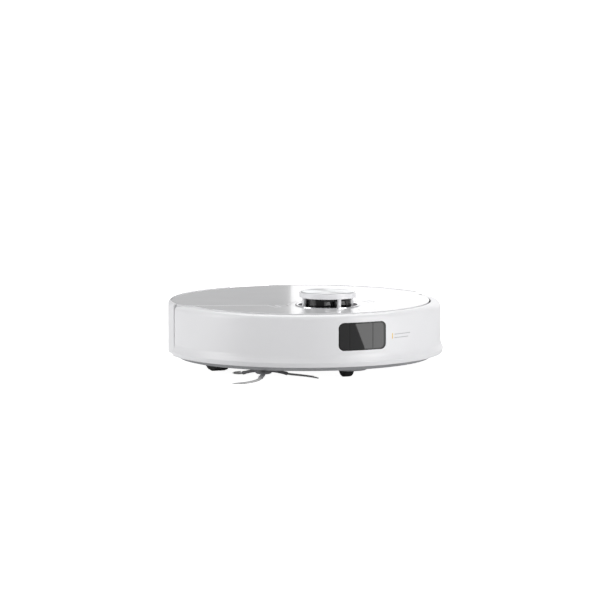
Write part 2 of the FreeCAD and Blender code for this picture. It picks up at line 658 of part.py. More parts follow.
def wheel_hub(side):
    """Rim, five spokes, and the axle stub that runs in the arm."""
    x0, x1 = WHEEL_X - TYRE_W / 2, WHEEL_X + TYRE_W / 2
    hollow = cyl_x(TYRE_INNER_R - RIM_WALL, x0 + RIM_WALL, x1 + 1, 0, WHEEL_R)
    rim = cyl_x(TYRE_INNER_R, x0, x1, 0, WHEEL_R).cut(hollow)
    boss = cyl_x(HUB_BOSS_R, x0, x1 - 2, 0, WHEEL_R)
    stub = cyl_x(AXLE_R, WELL_X[0] + WELL_WALL + 0.5 + ARM_W - AXLE_DEPTH, x0 + 1, 0, WHEEL_R)
    spokes = []
    for i in range(SPOKES):
        spoke = block(x0 + 2, x1 - 4, -SPOKE_W / 2, SPOKE_W / 2, HUB_BOSS_R - 2, TYRE_INNER_R - 2)
        spoke.rotate(V(0, 0, 0), V(1, 0, 0), i * 360.0 / SPOKES)
        spoke.translate(V(0, 0, WHEEL_R))
        spokes.append(spoke)
    hub = fuse(rim, boss, stub, *spokes)
    return hub if side > 0 else mirrored(hub)


def tyre(side):
    """Rubber tyre with cross grooves in two offset rows."""
    x0, x1 = WHEEL_X - TYRE_W / 2, WHEEL_X + TYRE_W / 2
    body = cyl_x(WHEEL_R, x0, x1, 0, WHEEL_R).cut(cyl_x(TYRE_INNER_R, x0 - 1, x1 + 1, 0, WHEEL_R))
    pitch = 360.0 / TREADS
    grooves = [cyl_x(WHEEL_R + 1, WHEEL_X - MID_GROOVE / 2, WHEEL_X + MID_GROOVE / 2, 0, 0).cut(
        cyl_x(WHEEL_R - TREAD_DEPTH, WHEEL_X - MID_GROOVE, WHEEL_X + MID_GROOVE, 0, 0))]
    for i in range(TREADS):
        for lo, hi, shift in ((x0 - 1, WHEEL_X - 0.5, 0.0), (WHEEL_X + 0.5, x1 + 1, 0.5)):
            groove = block(lo, hi, -TREAD_W / 2, TREAD_W / 2, -WHEEL_R - 1, -WHEEL_R + TREAD_DEPTH)
            groove.rotate(V(0, 0, 0), V(1, 0, 0), (i + 0.5 + shift) * pitch)
            grooves.append(groove)
    tools = Part.makeCompound(grooves)
    tools.translate(V(0, 0, WHEEL_R))
    solid = body.cut(tools)
    return solid if side > 0 else mirrored(solid)


def caster_socket():
    """Cup in the chassis that the caster turns in, with the bore of its stem."""
    z0, z1 = PAN_BOTTOM, CASTER_CUP_TOP
    cup = ring(CASTER_CUP_R, CASTER_FORK_R + 0.4, z0, z1, 0, CASTER_Y)
    top = cyl(CASTER_CUP_R, z1 - 2, z1, 0, CASTER_Y)
    boss = cyl(CASTER_STEM_R * 2, z1 - 1, CASTER_STEM_TOP + 2, 0, CASTER_Y)
    return cut(fuse(cup, top, boss), cyl(CASTER_STEM_R + RUN_FIT, 0, CASTER_STEM_TOP + 1, 0, CASTER_Y))


def caster_fork():
    """Domed turning piece that carries the small wheel behind its own axis."""
    r = CASTER_FORK_R
    wheel_y = CASTER_Y + CASTER_TRAIL
    body = cyl(r, CASTER_FORK_Z[0], CASTER_FORK_Z[1], 0, CASTER_Y)
    rim = [e for e in body.Edges if abs(e.BoundBox.ZMax - CASTER_FORK_Z[0]) < 0.01]
    body = body.makeFillet(CASTER_FORK_EDGE, rim)
    stem = cyl(CASTER_STEM_R, CASTER_FORK_Z[1] - 0.4, CASTER_STEM_TOP, 0, CASTER_Y)
    half = CASTER_WHEEL_W / 2 + 0.5
    room = block(-half, half, wheel_y - CASTER_WHEEL_R - 1, wheel_y + CASTER_WHEEL_R + 6, 0,
                 2 * CASTER_WHEEL_R + 1.5)
    axle = cyl_x(CASTER_AXLE_R + RUN_FIT, -half - CASTER_AXLE_GRIP, half + CASTER_AXLE_GRIP, wheel_y, CASTER_WHEEL_R)
    return cut(fuse(body, stem), room, axle)


def caster_wheel():
    """Small front wheel with its axle and a groove round the middle."""
    y = CASTER_Y + CASTER_TRAIL
    half = CASTER_WHEEL_W / 2
    wheel = cyl_x(CASTER_WHEEL_R, -half, half, y, CASTER_WHEEL_R)
    rims = [e for e in wheel.Edges if e.Closed]
    wheel = wheel.makeFillet(CASTER_WHEEL_EDGE, rims)
    axle = cyl_x(CASTER_AXLE_R, -half - CASTER_AXLE_GRIP, half + CASTER_AXLE_GRIP, y, CASTER_WHEEL_R)
    return fuse(wheel, axle)


def bar(start, end, w0, w1, thick):
    """Tapering flat bar between two points."""
    run = end - start
    side = V(-run.y, run.x, 0).normalize()
    up = run.cross(side).normalize() * (thick / 2)
    sections = []
    for p, w in ((start, w0), (end, w1)):
        out = side * (w / 2)
        corners = [p - out - up, p + out - up, p + out + up, p - out + up]
        sections.append(Part.makePolygon(corners + corners[:1]))
    return Part.makeLoft(sections, True, True)


def brush_point(radius, swing, z, arm):
    """Point of one arm of the side brush, swung back from the arm's own direction."""
    a = math.radians(SIDE_ARM_ANGLE + 120.0 * arm - swing)
    return V(SIDE_X + radius * math.cos(a), SIDE_Y + radius * math.sin(a), z)


def side_brush_hub():
    """Hub with its drive shaft and the three rubber roots of the arms."""
    hub = edge_round(cyl(SIDE_HUB_R, SIDE_HUB_Z[0], SIDE_HUB_Z[1], SIDE_X, SIDE_Y), SIDE_HUB_Z[0], 2.0)
    shaft = cyl(SIDE_SHAFT_R, SIDE_HUB_Z[1] - 0.2, 26.0, SIDE_X, SIDE_Y)
    roots = [bar(brush_point(SIDE_HUB_R - 2, 0, 9.6, i), brush_point(SIDE_ROOT_R, SIDE_ROOT_SWING, SIDE_ROOT_Z, i),
                 7.0, 4.6, 4.0) for i in range(3)]
    return fuse(hub, shaft, *roots)


def side_brush_bristles():
    """The bristle bundle of each arm as one plain tapering solid."""
    middle_swing = SIDE_TIP_SWING * 0.45
    out = []
    for i in range(3):
        start = brush_point(SIDE_ROOT_R, SIDE_ROOT_SWING, SIDE_ROOT_Z, i)
        middle = brush_point(SIDE_REACH * 0.72, middle_swing, SIDE_TIP_Z + 0.6, i)
        end = brush_point(SIDE_REACH, SIDE_TIP_SWING, SIDE_TIP_Z, i)
        run = (middle - start).normalize()
        out.append(fuse(bar(start + run * 0.6, middle, 3.4, 6.4, 2.2), bar(middle - run * 0.4, end, 6.4, 9.0, 1.8)))
    return group(*out)


def side_brush_drive():
    """Gear motor above the side brush."""
    case = cyl(17.5, PAN_FLOOR + SNUG, 34.0, SIDE_X, SIDE_Y)
    motor = cyl(12.0, 33.0, 48.0, SIDE_X, SIDE_Y)
    return fuse(case, motor).cut(cyl(SIDE_SHAFT_R + RUN_FIT, 10.0, 27.0, SIDE_X, SIDE_Y))


# ---------------------------------------------------------------- turret
def turret_ring():
    """Bright ring round the foot of the turret."""
    body = ring(TURRET_RING_R, TURRET_HOLE_R - 0.4, DECK_TOP, DECK_TOP + 0.9, 0, TURRET_Y)
    return edge_round(body, DECK_TOP + 0.9, 0.35)


def lidar_base():
    """Plate that carries the turning head and the motor, hung under the deck on three posts."""
    z0, z1 = 64.0, 68.0
    body = cyl(LIDAR_PLATE_R, z0, z1, 0, TURRET_Y)
    arm = block(0, MOTOR_X, TURRET_Y - 14.0, TURRET_Y + 14.0, z0, z1)
    end = cyl(14.0, z0, z1, MOTOR_X, TURRET_Y)
    posts = []
    for a in (60.0, 180.0, 300.0):
        x, y = polar(LIDAR_PLATE_R - 4.5, a)
        posts.append(cyl(3.0, z1 - 1, DECK_BOTTOM, x, y + TURRET_Y))
    return cut(fuse(body, arm, end, *posts), cyl(NECK_R + RUN_FIT, z0 - 1, z1 + 1, 0, TURRET_Y),
               cyl(2.2, z0 - 1, z1 + 1, MOTOR_X, TURRET_Y))


def lidar_motor():
    """Small motor that drives the belt."""
    return cyl(12.0, 48.0, 64.0, MOTOR_X, TURRET_Y).cut(cyl(1.5 + RUN_FIT, 55.0, 65.0, MOTOR_X, TURRET_Y))


def lidar_pulley():
    """Motor pulley on its shaft."""
    shaft = cyl(1.5, 56.0, 75.0, MOTOR_X, TURRET_Y)
    return fuse(shaft, cyl(SMALL_PULLEY_R, *PULLEY_Z, MOTOR_X, TURRET_Y))


def belt_outline(extra, z0, z1):
    """Solid inside the belt's loop, grown by extra: two discs and the tangents between them."""
    big, small = BIG_PULLEY_R + extra, SMALL_PULLEY_R + extra
    a = math.acos((big - small) / MOTOR_X)
    c, s = math.cos(a), math.sin(a)
    corners = [(big * c, TURRET_Y + big * s), (MOTOR_X + small * c, TURRET_Y + small * s),
               (MOTOR_X + small * c, TURRET_Y - small * s), (big * c, TURRET_Y - big * s)]
    return fuse(cyl(big, z0, z1, 0, TURRET_Y), cyl(small, z0, z1, MOTOR_X, TURRET_Y), prism(corners, z0, z1))


def lidar_belt():
    """Rubber belt between the motor pulley and the head."""
    z0, z1 = PULLEY_Z
    inner = belt_outline(RUN_FIT, z0 - 1, z1 + 1)
    return belt_outline(RUN_FIT + 0.9, z0 + 0.4, z1 - 0.4).cut(inner)


def lidar_head():
    """Dark turning head with its two lens ports, belt wheel and neck."""
    drum = cyl(HEAD_R, 77.5, HEAD_TOP, 0, TURRET_Y)
    neck = cyl(NECK_R, 64.5, 78.0, 0, TURRET_Y)
    wheel = cyl(BIG_PULLEY_R, *PULLEY_Z, 0, TURRET_Y)
    ports = [Part.makeCylinder(r, 14.0, V(x, TURRET_Y - HEAD_R - 1, LENS_Z), V(0, 1, 0)) for x, r in LENSES]
    flat = block(-20, 20, TURRET_Y - HEAD_R - 1, TURRET_Y - HEAD_R + 5, 79.5, HEAD_TOP - 1.5)
    return cut(fuse(drum, neck, wheel), flat, *ports)


def lidar_lenses():
    """The laser's lens and the receiver's lens."""
    y = TURRET_Y - HEAD_R + 6.5
    return group(*[Part.makeCylinder(r - 0.1, 3.0, V(x, y, LENS_Z), V(0, 1, 0)) for x, r in LENSES])


def turret_cage():
    """Cap of the turret, a disc with a rounded upper edge, on its four posts and foot ring."""
    z0, z1 = TURRET_TOP - CAP_BAND, TURRET_TOP - 0.6
    body = cyl(CAP_R, z0, z1, 0, TURRET_Y)
    body = edge_round(body, z1, 1.2)
    dish = cyl(CAP_DISC_R + 0.1, z1 - 1.4, z1 + 1, 0, TURRET_Y)
    return fuse(body.cut(dish), turret_posts())


def turret_disc():
    """Brushed metal disc set into the cap."""
    disc = cyl(CAP_DISC_R, TURRET_TOP - 2.0, TURRET_TOP, 0, TURRET_Y)
    return edge_round(disc, TURRET_TOP, 0.5)


def turret_posts():
    """Four posts and the foot ring that carry the cap."""
    z0, z1 = 76.4, TURRET_TOP - CAP_BAND
    foot = ring(CAP_R, 31.0, z0, z0 + 3.4, 0, TURRET_Y)
    posts = []
    for i in range(4):
        post = block(-POST_W / 2, POST_W / 2, 31.2, CAP_R - 0.6, z0 + 1, z1)
        post.rotate(V(0, 0, 0), V(0, 0, 1), i * 90.0)
        post.translate(V(0, TURRET_Y, 0))
        posts.append(post)
    return fuse(foot, *posts)


# ---------------------------------------------------------------- buttons and boards
def button(x):
    """Round push button with a collar that keeps it under the deck and a stem above its switch."""
    cap = cyl(BUTTON_R, DECK_BOTTOM - 0.6, DECK_TOP + 0.2, x, BUTTON_Y)
    cap = edge_round(cap, DECK_TOP + 0.2, 0.5)
    collar = cyl(BUTTON_R + 1.6, DECK_BOTTOM - 1.7, DECK_BOTTOM - 0.5, x, BUTTON_Y)
    stem = cyl(3.0, BUTTON_STEM_Z, DECK_BOTTOM - 1.5, x, BUTTON_Y)
    return fuse(cap, collar, stem)


def button_board():
    """Small board with a switch under each button, held on four posts under the deck."""
    board = block(-40, 40, BUTTON_Y - 13, BUTTON_Y + 13, 70.0, 71.6)
    parts = [block(s * BUTTON_X - 3, s * BUTTON_X + 3, BUTTON_Y - 3, BUTTON_Y + 3, 71.5, 75.0) for s in (-1, 1)]
    posts = [cyl(2.5, 71.5, DECK_BOTTOM, s * 37.2, BUTTON_Y + t * 6) for s in (-1, 1) for t in (-1, 1)]
    return fuse(board, *parts, *posts)


def main_board():
    """Control board with its larger chips and connectors."""
    board = block(*BOARD_X, *BOARD_Y, BOARD_Z, BOARD_Z + 1.6)
    top = BOARD_Z + 1.5
    chips = [block(-70, -52, -100, -82, top, top + 2.0), block(-40, -26, -96, -82, top, top + 1.6),
             block(-88, -78, -78, -56, top, top + 6.0), block(-12, 24, -118, -110, top, top + 7.0),
             block(-60, -30, -66, -58, top, top + 5.0)]
    cans = [cyl(4.0, top, top + 8.0, x, -72.0) for x in (-68.0, -57.0)]
    return fuse(board, *chips, *cans)


def battery_pack():
    """Two rows of four cells side by side."""
    x0, x1 = BATTERY_X
    y0, y1 = BATTERY_Y
    z0, z1 = BATTERY_Z
    pack = rounded_z(x0, x1, y0, y1, z0, z1, 4.0)
    pitch = (y1 - y0) / 2
    grooves = [block(x0 + 4, x1 - 4, y0 + pitch - 0.8, y0 + pitch + 0.8, z1 - 1.2, z1 + 1)]
    return cut(pack, *grooves)


def battery_cover():
    """Hatch under the battery."""
    x0, x1 = BATTERY_X
    y0, y1 = BATTERY_Y
    return rounded_z(x0 - 1.7, x1 + 1.7, y0 - 0.7, y1 + 0.7, PAN_BOTTOM, PAN_FLOOR, 0.9)


def infrared_windows():
    """Dark windows over the sensors that look at the floor, and the one that looks for the dock."""
    floor = [slot_at(r, a, CLIFF_W, CLIFF_D, PAN_BOTTOM + 0.4, PAN_FLOOR) for r, a in CLIFF_PLACES]
    return group(*floor, dock_window())


def charging_contacts():
    """Two metal pads that meet the dock."""
    pads = [rounded_z(s * CONTACT_X - CONTACT_L / 2, s * CONTACT_X + CONTACT_L / 2, CONTACT_Y - CONTACT_W / 2,
                      CONTACT_Y + CONTACT_W / 2, PAN_BOTTOM - 0.5, PAN_FLOOR + 1.5, 2.0) for s in (-1, 1)]
    return group(*pads)


def speaker():
    """Small loudspeaker in front of the left wheel."""
    x, y = 116.0, -76.0
    return fuse(cyl(15.0, PAN_FLOOR + SNUG, 22.0, x, y), cyl(9.0, 21.0, 31.0, x, y))


def sensor_module():
    """Obstacle sensor behind the window: a camera between two line lasers."""
    body = rounded_y(-29, 27, 43.0, 68.0, 3.0, -161.0, -144.0)
    lenses = [Part.makeCylinder(r, 2.4, V(x, -163.2, 56.0), V(0, 1, 0)) for x, r in
              ((-25.0, 3.0), (-3.0, 7.0), (20.0, 4.0))]
    return fuse(body, *lenses)


def bumper_switches():
    """Micro switches that the bumper's inner ribs work on."""
    out = []
    for a in (-40.0, 40.0):
        box = block(-8, 8, -3.2, 3.2, 38.0, 48.0)
        lever = block(-7, 6, -4.4, -3.1, 40.0, 46.0)
        switch = fuse(box, lever)
        switch.rotate(V(0, 0, 0), V(0, 0, 1), a)
        x, y = polar(156.5, a)
        switch.translate(V(x, y, 0))
        out.append(switch)
    return group(*out)


# ---------------------------------------------------------------- dust path
def suction_throat():
    """Short duct between the brush chamber and the bin's bay."""
    y0, y1 = CHAMBER_Y[1] - 0.5, BIN_Y[0] - BAY_GAP - BAY_WALL - 0.1
    x0, x1 = INLET_X
    z0, z1 = INLET_Z
    return block(x0 - 2, x1 + 2, y0, y1, z0 - 2, z1 + 2).cut(block(x0, x1, y0 - 1, y1 + 1, z0, z1))


def bin_bay():
    """Open-topped box that the bin drops into."""
    x0, x1 = BIN_X[0] - BAY_GAP, BIN_X[1] + BAY_GAP
    y0, y1 = BIN_Y[0] - BAY_GAP, BIN_Y[1] + BAY_GAP
    w = BAY_WALL
    body = block(x0 - w, x1 + w, y0 - w, y1 + w, PAN_FLOOR + SNUG, PAN_TOP + 1)
    body = body.cut(block(x0, x1, y0, y1, BIN_Z[0] - 0.5, PAN_TOP + 2))
    body = cut(body, block(*INLET_X, y0 - w - 1, y0 + 1, *INLET_Z), block(x1 - 1, x1 + w + 1, *OUTLET_Y, *OUTLET_Z))
    return fuse(body, bay_frame())


def bay_frame():
    """Plate seen when the lid is up, with the opening over the bin."""
    z0, z1 = PAN_TOP + 0.3, PAN_TOP + 2.5
    wide = cyl(LEDGE_R - SNUG * 2, z0, z1).common(block(-FAR, FAR, FRAME_BACK_Y, FAR, z0, z1))
    narrow = cyl(FRAME_R - 0.5, z0, z1).common(seam_region(SEAM_GAP / 2 + 6, FAR, z0, z1))
    disc = fuse(wide, narrow)
    disc = cut(disc, cyl(COLLAR_R + 3, z0 - 1, z1 + 1, 0, TURRET_Y))
    x0, x1 = BIN_X[0] - BAY_GAP, BIN_X[1] + BAY_GAP
    y0, y1 = BIN_Y[0] - BAY_GAP, BIN_Y[1] + BAY_GAP
    slots = [block(s * HINGE_X - 9, s * HINGE_X + 9, HINGE_Y - 9, SEAM_MIDDLE[1] + 8, z0 - 1, z1 + 1)
             for s in (-1, 1)]
    return cut(disc, block(x0, x1, y0, y1, z0 - 1, z1 + 1), *slots)


def bin_box():
    """The bin's tray, open on top, with the inlet in front and the way to the fan at its side."""
    w = BIN_WALL
    body = rounded_z(*BIN_X, *BIN_Y, *BIN_Z, 6.0)
    x0, x1 = BIN_X
    y0, y1 = BIN_Y
    inner = rounded_z(x0 + w, x1 - w, y0 + w, y1 - w, BIN_Z[0] + w, BIN_Z[1] + 1, 4.5)
    return cut(body, inner, block(*INLET_X, y0 - 1, y0 + w + 1, *INLET_Z),
               block(x1 - w - 1, x1 + 1, *OUTLET_Y, *OUTLET_Z))


def bin_cover():
    """Top of the bin with a recessed grip bar."""
    body = rounded_z(*BIN_X, *BIN_Y, BIN_Z[1], BIN_Z[1] + BIN_COVER_T, 6.0)
    body = edge_round(body, BIN_Z[1] + BIN_COVER_T, 1.0)
    return fuse(body, *handle_lugs())


def bin_handle():
    """Folding bail that lies on the bin's cover."""
    x0, x1 = HANDLE_X
    y0, y1 = HANDLE_Y
    z = HANDLE_Z
    bar = 4.0
    side = [block(x, x + bar, y0, y1, z - 1.6, z + 1.6) for x in (x0, x1 - bar)]
    grip = block(x0, x1, y1 - 6.0, y1, z - 1.6, z + 1.6)
    pins = [cyl_x(1.2, x0 - 2.6, x0 + 1, y0 + HANDLE_PIVOT, z), cyl_x(1.2, x1 - 1, x1 + 2.6, y0 + HANDLE_PIVOT, z)]
    return fuse(*side, grip, *pins)


def handle_lugs():
    """Lugs on the cover that hold the bail's pins."""
    y = HANDLE_Y[0] + HANDLE_PIVOT
    out = []
    for x0, x1 in ((HANDLE_X[0] - 3.2, HANDLE_X[0] - 0.5), (HANDLE_X[1] + 0.5, HANDLE_X[1] + 3.2)):
        lug = block(x0, x1, y - 3.0, y + 3.0, BIN_Z[1] + BIN_COVER_T - 1, HANDLE_Z + 2.2)
        out.append(lug.cut(cyl_x(1.2 + RUN_FIT, x0 - 1, x1 + 1, y, HANDLE_Z)))
    return out


def filter_pleats():
    """Pleated filter inside the bin at its side opening."""
    x1 = BIN_X[1] - BIN_WALL - 0.2
    x0 = x1 - FILTER_T
    y0, y1 = OUTLET_Y[0] - 4, OUTLET_Y[1] + 4
    z0, z1 = OUTLET_Z[0] - 2, OUTLET_Z[1] + 2
    folds = 12
    pitch = (y1 - y0) / folds
    pts = []
    for i in range(folds):
        pts += [(x0, y0 + i * pitch), (x1 - 1.5, y0 + (i + 0.5) * pitch)]
    pts += [(x0, y1)]
    back = [(x + 1.2, y) for x, y in reversed(pts)]
    return prism(pts + back, z0, z1)


def filter_frame():
    """Frame round the filter."""
    x1 = BIN_X[1] - BIN_WALL - 0.2
    x0 = x1 - FILTER_T
    y0, y1 = OUTLET_Y[0] - 4.3, OUTLET_Y[1] + 4.3
    z0, z1 = OUTLET_Z[0] - 2.3, OUTLET_Z[1] + 2.3
    return block(x0, x1, y0 - 1.8, y1 + 1.8, z0 - 1.8, z1 + 1.2).cut(block(x0 - 1, x1 + 1, y0, y1, z0, z1))


def air_duct():
    """Duct from the bay's side to the eye of the fan."""
    w = 1.5
    x0, x1 = BIN_X[1] + BAY_GAP + BAY_WALL + 0.1, FAN_X + 18.0
    y0, y1 = OUTLET_Y[0] - w, OUTLET_Y[1] + w
    z0, z1 = FAN_Z[1] + 0.1, PAN_TOP
    duct = block(x0, x1, y0, y1, z0, z1)
    drop = block(x0, x0 + DUCT_DROP, y0, y1, OUTLET_Z[0] - w, z0 + 1)
    room = block(x0 + w, x1 - w, y0 + w, y1 - w, z0 + w, z1 - w)
    side = block(x0 - 1, x0 + DUCT_DROP - w, y0 + w, y1 - w, OUTLET_Z[0], OUTLET_Z[1])
    eye = cyl(12.0, z0 - 1, z0 + w + 1, FAN_X, FAN_Y)
    return cut(fuse(duct, drop), room, side, eye)


def fan_housing():
    """Scroll round the impeller with an eye on top and an outlet towards the vent."""
    z0, z1 = FAN_Z
    shell = cyl(FAN_R, z0, z1, FAN_X, FAN_Y)
    spout = block(FAN_X + 4, FAN_X + FAN_R - 2, FAN_Y, FAN_Y + FAN_SPOUT, z0 + 12, z1 - 6)
    room = cyl(FAN_R - 2, z0 + 10, z1 - 2, FAN_X, FAN_Y)
    spout_room = block(FAN_X + 6, FAN_X + FAN_R - 4, FAN_Y, FAN_Y + FAN_SPOUT + 1, z0 + 14, z1 - 8)
    eye = cyl(12.0, z1 - 3, z1 + 1, FAN_X, FAN_Y)
    bore = cyl(2.0 + RUN_FIT, z0 + 3, z0 + 11, FAN_X, FAN_Y)
    return cut(fuse(shell, spout), room, spout_room, eye, bore)


def impeller():
    """Fan wheel with curved-back blades between a hub and a base disc."""
    z0, z1 = FAN_Z[0] + 12, FAN_Z[1] - 6
    disc = cyl(IMPELLER_R, z0, z0 + 1.6, FAN_X, FAN_Y)
    hub = cyl(6.0, z0, z1 - 6, FAN_X, FAN_Y)
    shaft = cyl(2.0, FAN_Z[0] + 4, z0 + 1, FAN_X, FAN_Y)
    blades = []
    for i in range(9):
        blade = block(5.0, IMPELLER_R - 0.6, -0.6, 0.6, z0 + 1, z1)
        blade.rotate(V(5.0, 0, 0), V(0, 0, 1), 22.0)
        blade.rotate(V(0, 0, 0), V(0, 0, 1), i * 40.0)
        blade.translate(V(FAN_X, FAN_Y, 0))
        blades.append(blade.common(cyl(IMPELLER_R, z0, z1, FAN_X, FAN_Y)))
    return fuse(disc, hub, shaft, *blades)


# ---------------------------------------------------------------- lid hinge
def lid_hinges():
    """Barrels under the lid's tongues."""
    out = []
    for s in (-1, 1):
        x0, x1 = s * HINGE_X - HINGE_ARM_W / 2, s * HINGE_X + HINGE_ARM_W / 2
        barrel = cyl_x(HINGE_BARREL_R, x0, x1, HINGE_Y, HINGE_Z)
        barrel = barrel.common(block(x0, x1, HINGE_Y - 9, HINGE_Y + 9, 0, DECK_BOTTOM))
        web = block(x0, x1, HINGE_Y, HINGE_Y + 16, DECK_BOTTOM - 2.0, DECK_BOTTOM)
        out += [barrel, web]
    return out


def hinge_brackets():
    """Ears under the deck on each side of a barrel, with the pin through it."""
    out = []
    for s in (-1, 1):
        reach = HINGE_ARM_W / 2 + MOVE_GAP
        c = s * HINGE_X
        ears = [block(c + t * (reach + 1.5) - 1.5, c + t * (reach + 1.5) + 1.5, HINGE_Y - 5, HINGE_Y + 5,
                      HINGE_Z - 4, DECK_BOTTOM - 0.05) for t in (-1, 1)]
        pin = cyl_x(HINGE_PIN_R, c - reach - 3, c + reach + 3, HINGE_Y, HINGE_Z)
        pin = pin.common(block(c - 20, c + 20, HINGE_Y - 9, HINGE_Y + 9, 0, DECK_BOTTOM - 0.05).fuse(
            block(c - reach, c + reach, HINGE_Y - 9, HINGE_Y + 9, 0, FAR)))
        out.append(fuse(*ears, pin))
    return group(*out)


# ---------------------------------------------------------------- build
def main():
    """Makes every piece and writes it to its own file."""
    os.makedirs("parts", exist_ok=True)
    bezel, pane = window_parts()
    nodes = {
        "chassis_pan": chassis_pan(), "chassis_screws": chassis_screws(), "deck_frame": deck_frame(),
        "top_deck": top_deck(), "rear_shell": rear_shell(), "exhaust_grille": exhaust_grille(),
        "brush_chamber": brush_chamber(), "brush_drive": brush_drive(),
        "wheel_well_left": wheel_well(1), "wheel_well_right": wheel_well(-1),
        "caster_socket": caster_socket(), "side_brush_drive": side_brush_drive(),
        "turret_ring": turret_ring(), "lidar_base": lidar_base(), "lidar_motor": lidar_motor(),
        "lidar_belt": lidar_belt(), "button_board": button_board(), "main_board": main_board(),
        "battery_pack": battery_pack(), "battery_cover": battery_cover(), "infrared_windows": infrared_windows(),
        "charging_contacts": charging_contacts(), "speaker": speaker(),
        "sensor_module": sensor_module(), "bumper_switches": bumper_switches(),
        "bin_bay": bin_bay(),
        "air_duct": air_duct(), "fan_housing": fan_housing(), "hinge_brackets": hinge_brackets(),
        "bumper_shell": bumper_shell(), "window_bezel": bezel, "window_panes": pane,
        "print_marks": print_marks(),
        "lid_panel": lid_panel(),
        "bin_box": bin_box(), "bin_cover": bin_cover(),
        "filter_pleats": filter_pleats(), "filter_frame": filter_frame(), "bin_handle": bin_handle(),
        "turret_cage": turret_cage(), "turret_disc": turret_disc(),
        "lidar_head": lidar_head(), "lidar_lenses": lidar_lenses(), "lidar_pulley": lidar_pulley(),
        "button_power": button(-BUTTON_X), "button_home": button(BUTTON_X), "impeller": impeller(),
        "caster_fork": caster_fork(), "caster_wheel": caster_wheel(),
        "side_brush_hub": side_brush_hub(), "side_brush_bristles": side_brush_bristles(),
        "roller_front": roller(ROLLER_FRONT_Y, 0.0), "roller_rear": roller(ROLLER_REAR_Y, 22.5),
        "brush_guard": brush_guard(),
    }
    for side, label in ((1, "left"), (-1, "right")):
        nodes["wheel_arm_" + label] = wheel_arm(side)
        nodes["wheel_hub_" + label] = wheel_hub(side)
        nodes["tyre_" + label] = tyre(side)
    for name, shape in nodes.items():
        export(name, shape)
    print(len(nodes), "nodes")


main()
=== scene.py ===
"""Robot vacuum cleaner: shells, turret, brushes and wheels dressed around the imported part."""
import logging
import math
from dataclasses import dataclass
from enum import Enum
from typing import Callable, Dict, List, Optional, Sequence, Tuple

import bmesh
import bpy
import numpy as np
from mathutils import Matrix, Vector


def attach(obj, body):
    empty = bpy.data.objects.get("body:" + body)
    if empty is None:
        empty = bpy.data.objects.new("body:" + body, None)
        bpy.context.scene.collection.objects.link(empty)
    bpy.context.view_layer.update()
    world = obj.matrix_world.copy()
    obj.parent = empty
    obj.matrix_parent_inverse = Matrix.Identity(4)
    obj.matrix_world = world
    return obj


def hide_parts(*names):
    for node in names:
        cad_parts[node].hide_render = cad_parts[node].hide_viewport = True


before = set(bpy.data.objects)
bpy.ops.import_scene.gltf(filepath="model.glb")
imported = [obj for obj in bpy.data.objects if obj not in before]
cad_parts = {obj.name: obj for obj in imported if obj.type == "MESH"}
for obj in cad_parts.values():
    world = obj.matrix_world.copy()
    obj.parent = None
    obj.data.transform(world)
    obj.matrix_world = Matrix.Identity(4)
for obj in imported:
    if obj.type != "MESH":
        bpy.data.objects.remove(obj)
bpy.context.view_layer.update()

MM = 0.001
LOG = logging.getLogger("vacuum")

TURRET_AXIS = (0.0, -68.0)

FRONT_ROLLER_Y = -25.75
REAR_ROLLER_Y = 13.75
DRIFT_MM = 45.0          # size of the patches over which colour and roughness drift
ROUGHNESS_DRIFT = 0.08
COAT_ROUGHNESS = 0.04
SHEEN_ROUGHNESS = 0.4
BRUSH_STRETCH = 0.05     # how much longer than wide the marks of brushed metal are, as a share


# ------------------------------------------------------------------ helpers
def linear(code: str) -> Tuple[float, float, float, float]:
    """Turns an sRGB hex code into linear colour.

    Args:
        code: Six hex digits with a leading #.

    Returns:
        Linear red, green, blue and an alpha of one.
    """
    parts = np.array([int(code[i:i + 2], 16) for i in (1, 3, 5)]) / 255.0
    low, high = parts / 12.92, ((parts + 0.055) / 1.055) ** 2.4
    return (*np.where(parts <= 0.04045, low, high).tolist(), 1.0)


def add(tree: bpy.types.NodeTree, kind: str, settings: Optional[dict] = None,
        links: Optional[dict] = None) -> bpy.types.Node:
    """Adds one node with its settings and its incoming links.

    Args:
        tree: Node tree that takes the node.
        kind: Node type without the ShaderNode prefix.
        settings: Node attributes, or values of input sockets by name or number.
        links: Output sockets by the name or number of the input they feed.

    Returns:
        The new node.
    """
    node = tree.nodes.new("ShaderNode" + kind)
    for key, value in (settings or {}).items():
        if isinstance(key, str) and key not in node.inputs:
            setattr(node, key, value)
        else:
            node.inputs[key].default_value = value
    for key, socket in (links or {}).items():
        tree.links.new(socket, node.inputs[key])
    return node


def smooth(mesh: bpy.types.Mesh, angle: float) -> None:
    """Shades a mesh smoothly and keeps its sharp edges.

    Args:
        mesh: Mesh to shade.
        angle: Edges that turn more than this many degrees stay sharp.
    """
    mesh.polygons.foreach_set("use_smooth", np.ones(len(mesh.polygons), bool))
    mesh.set_sharp_from_angle(angle=math.radians(angle))
    mesh.update()


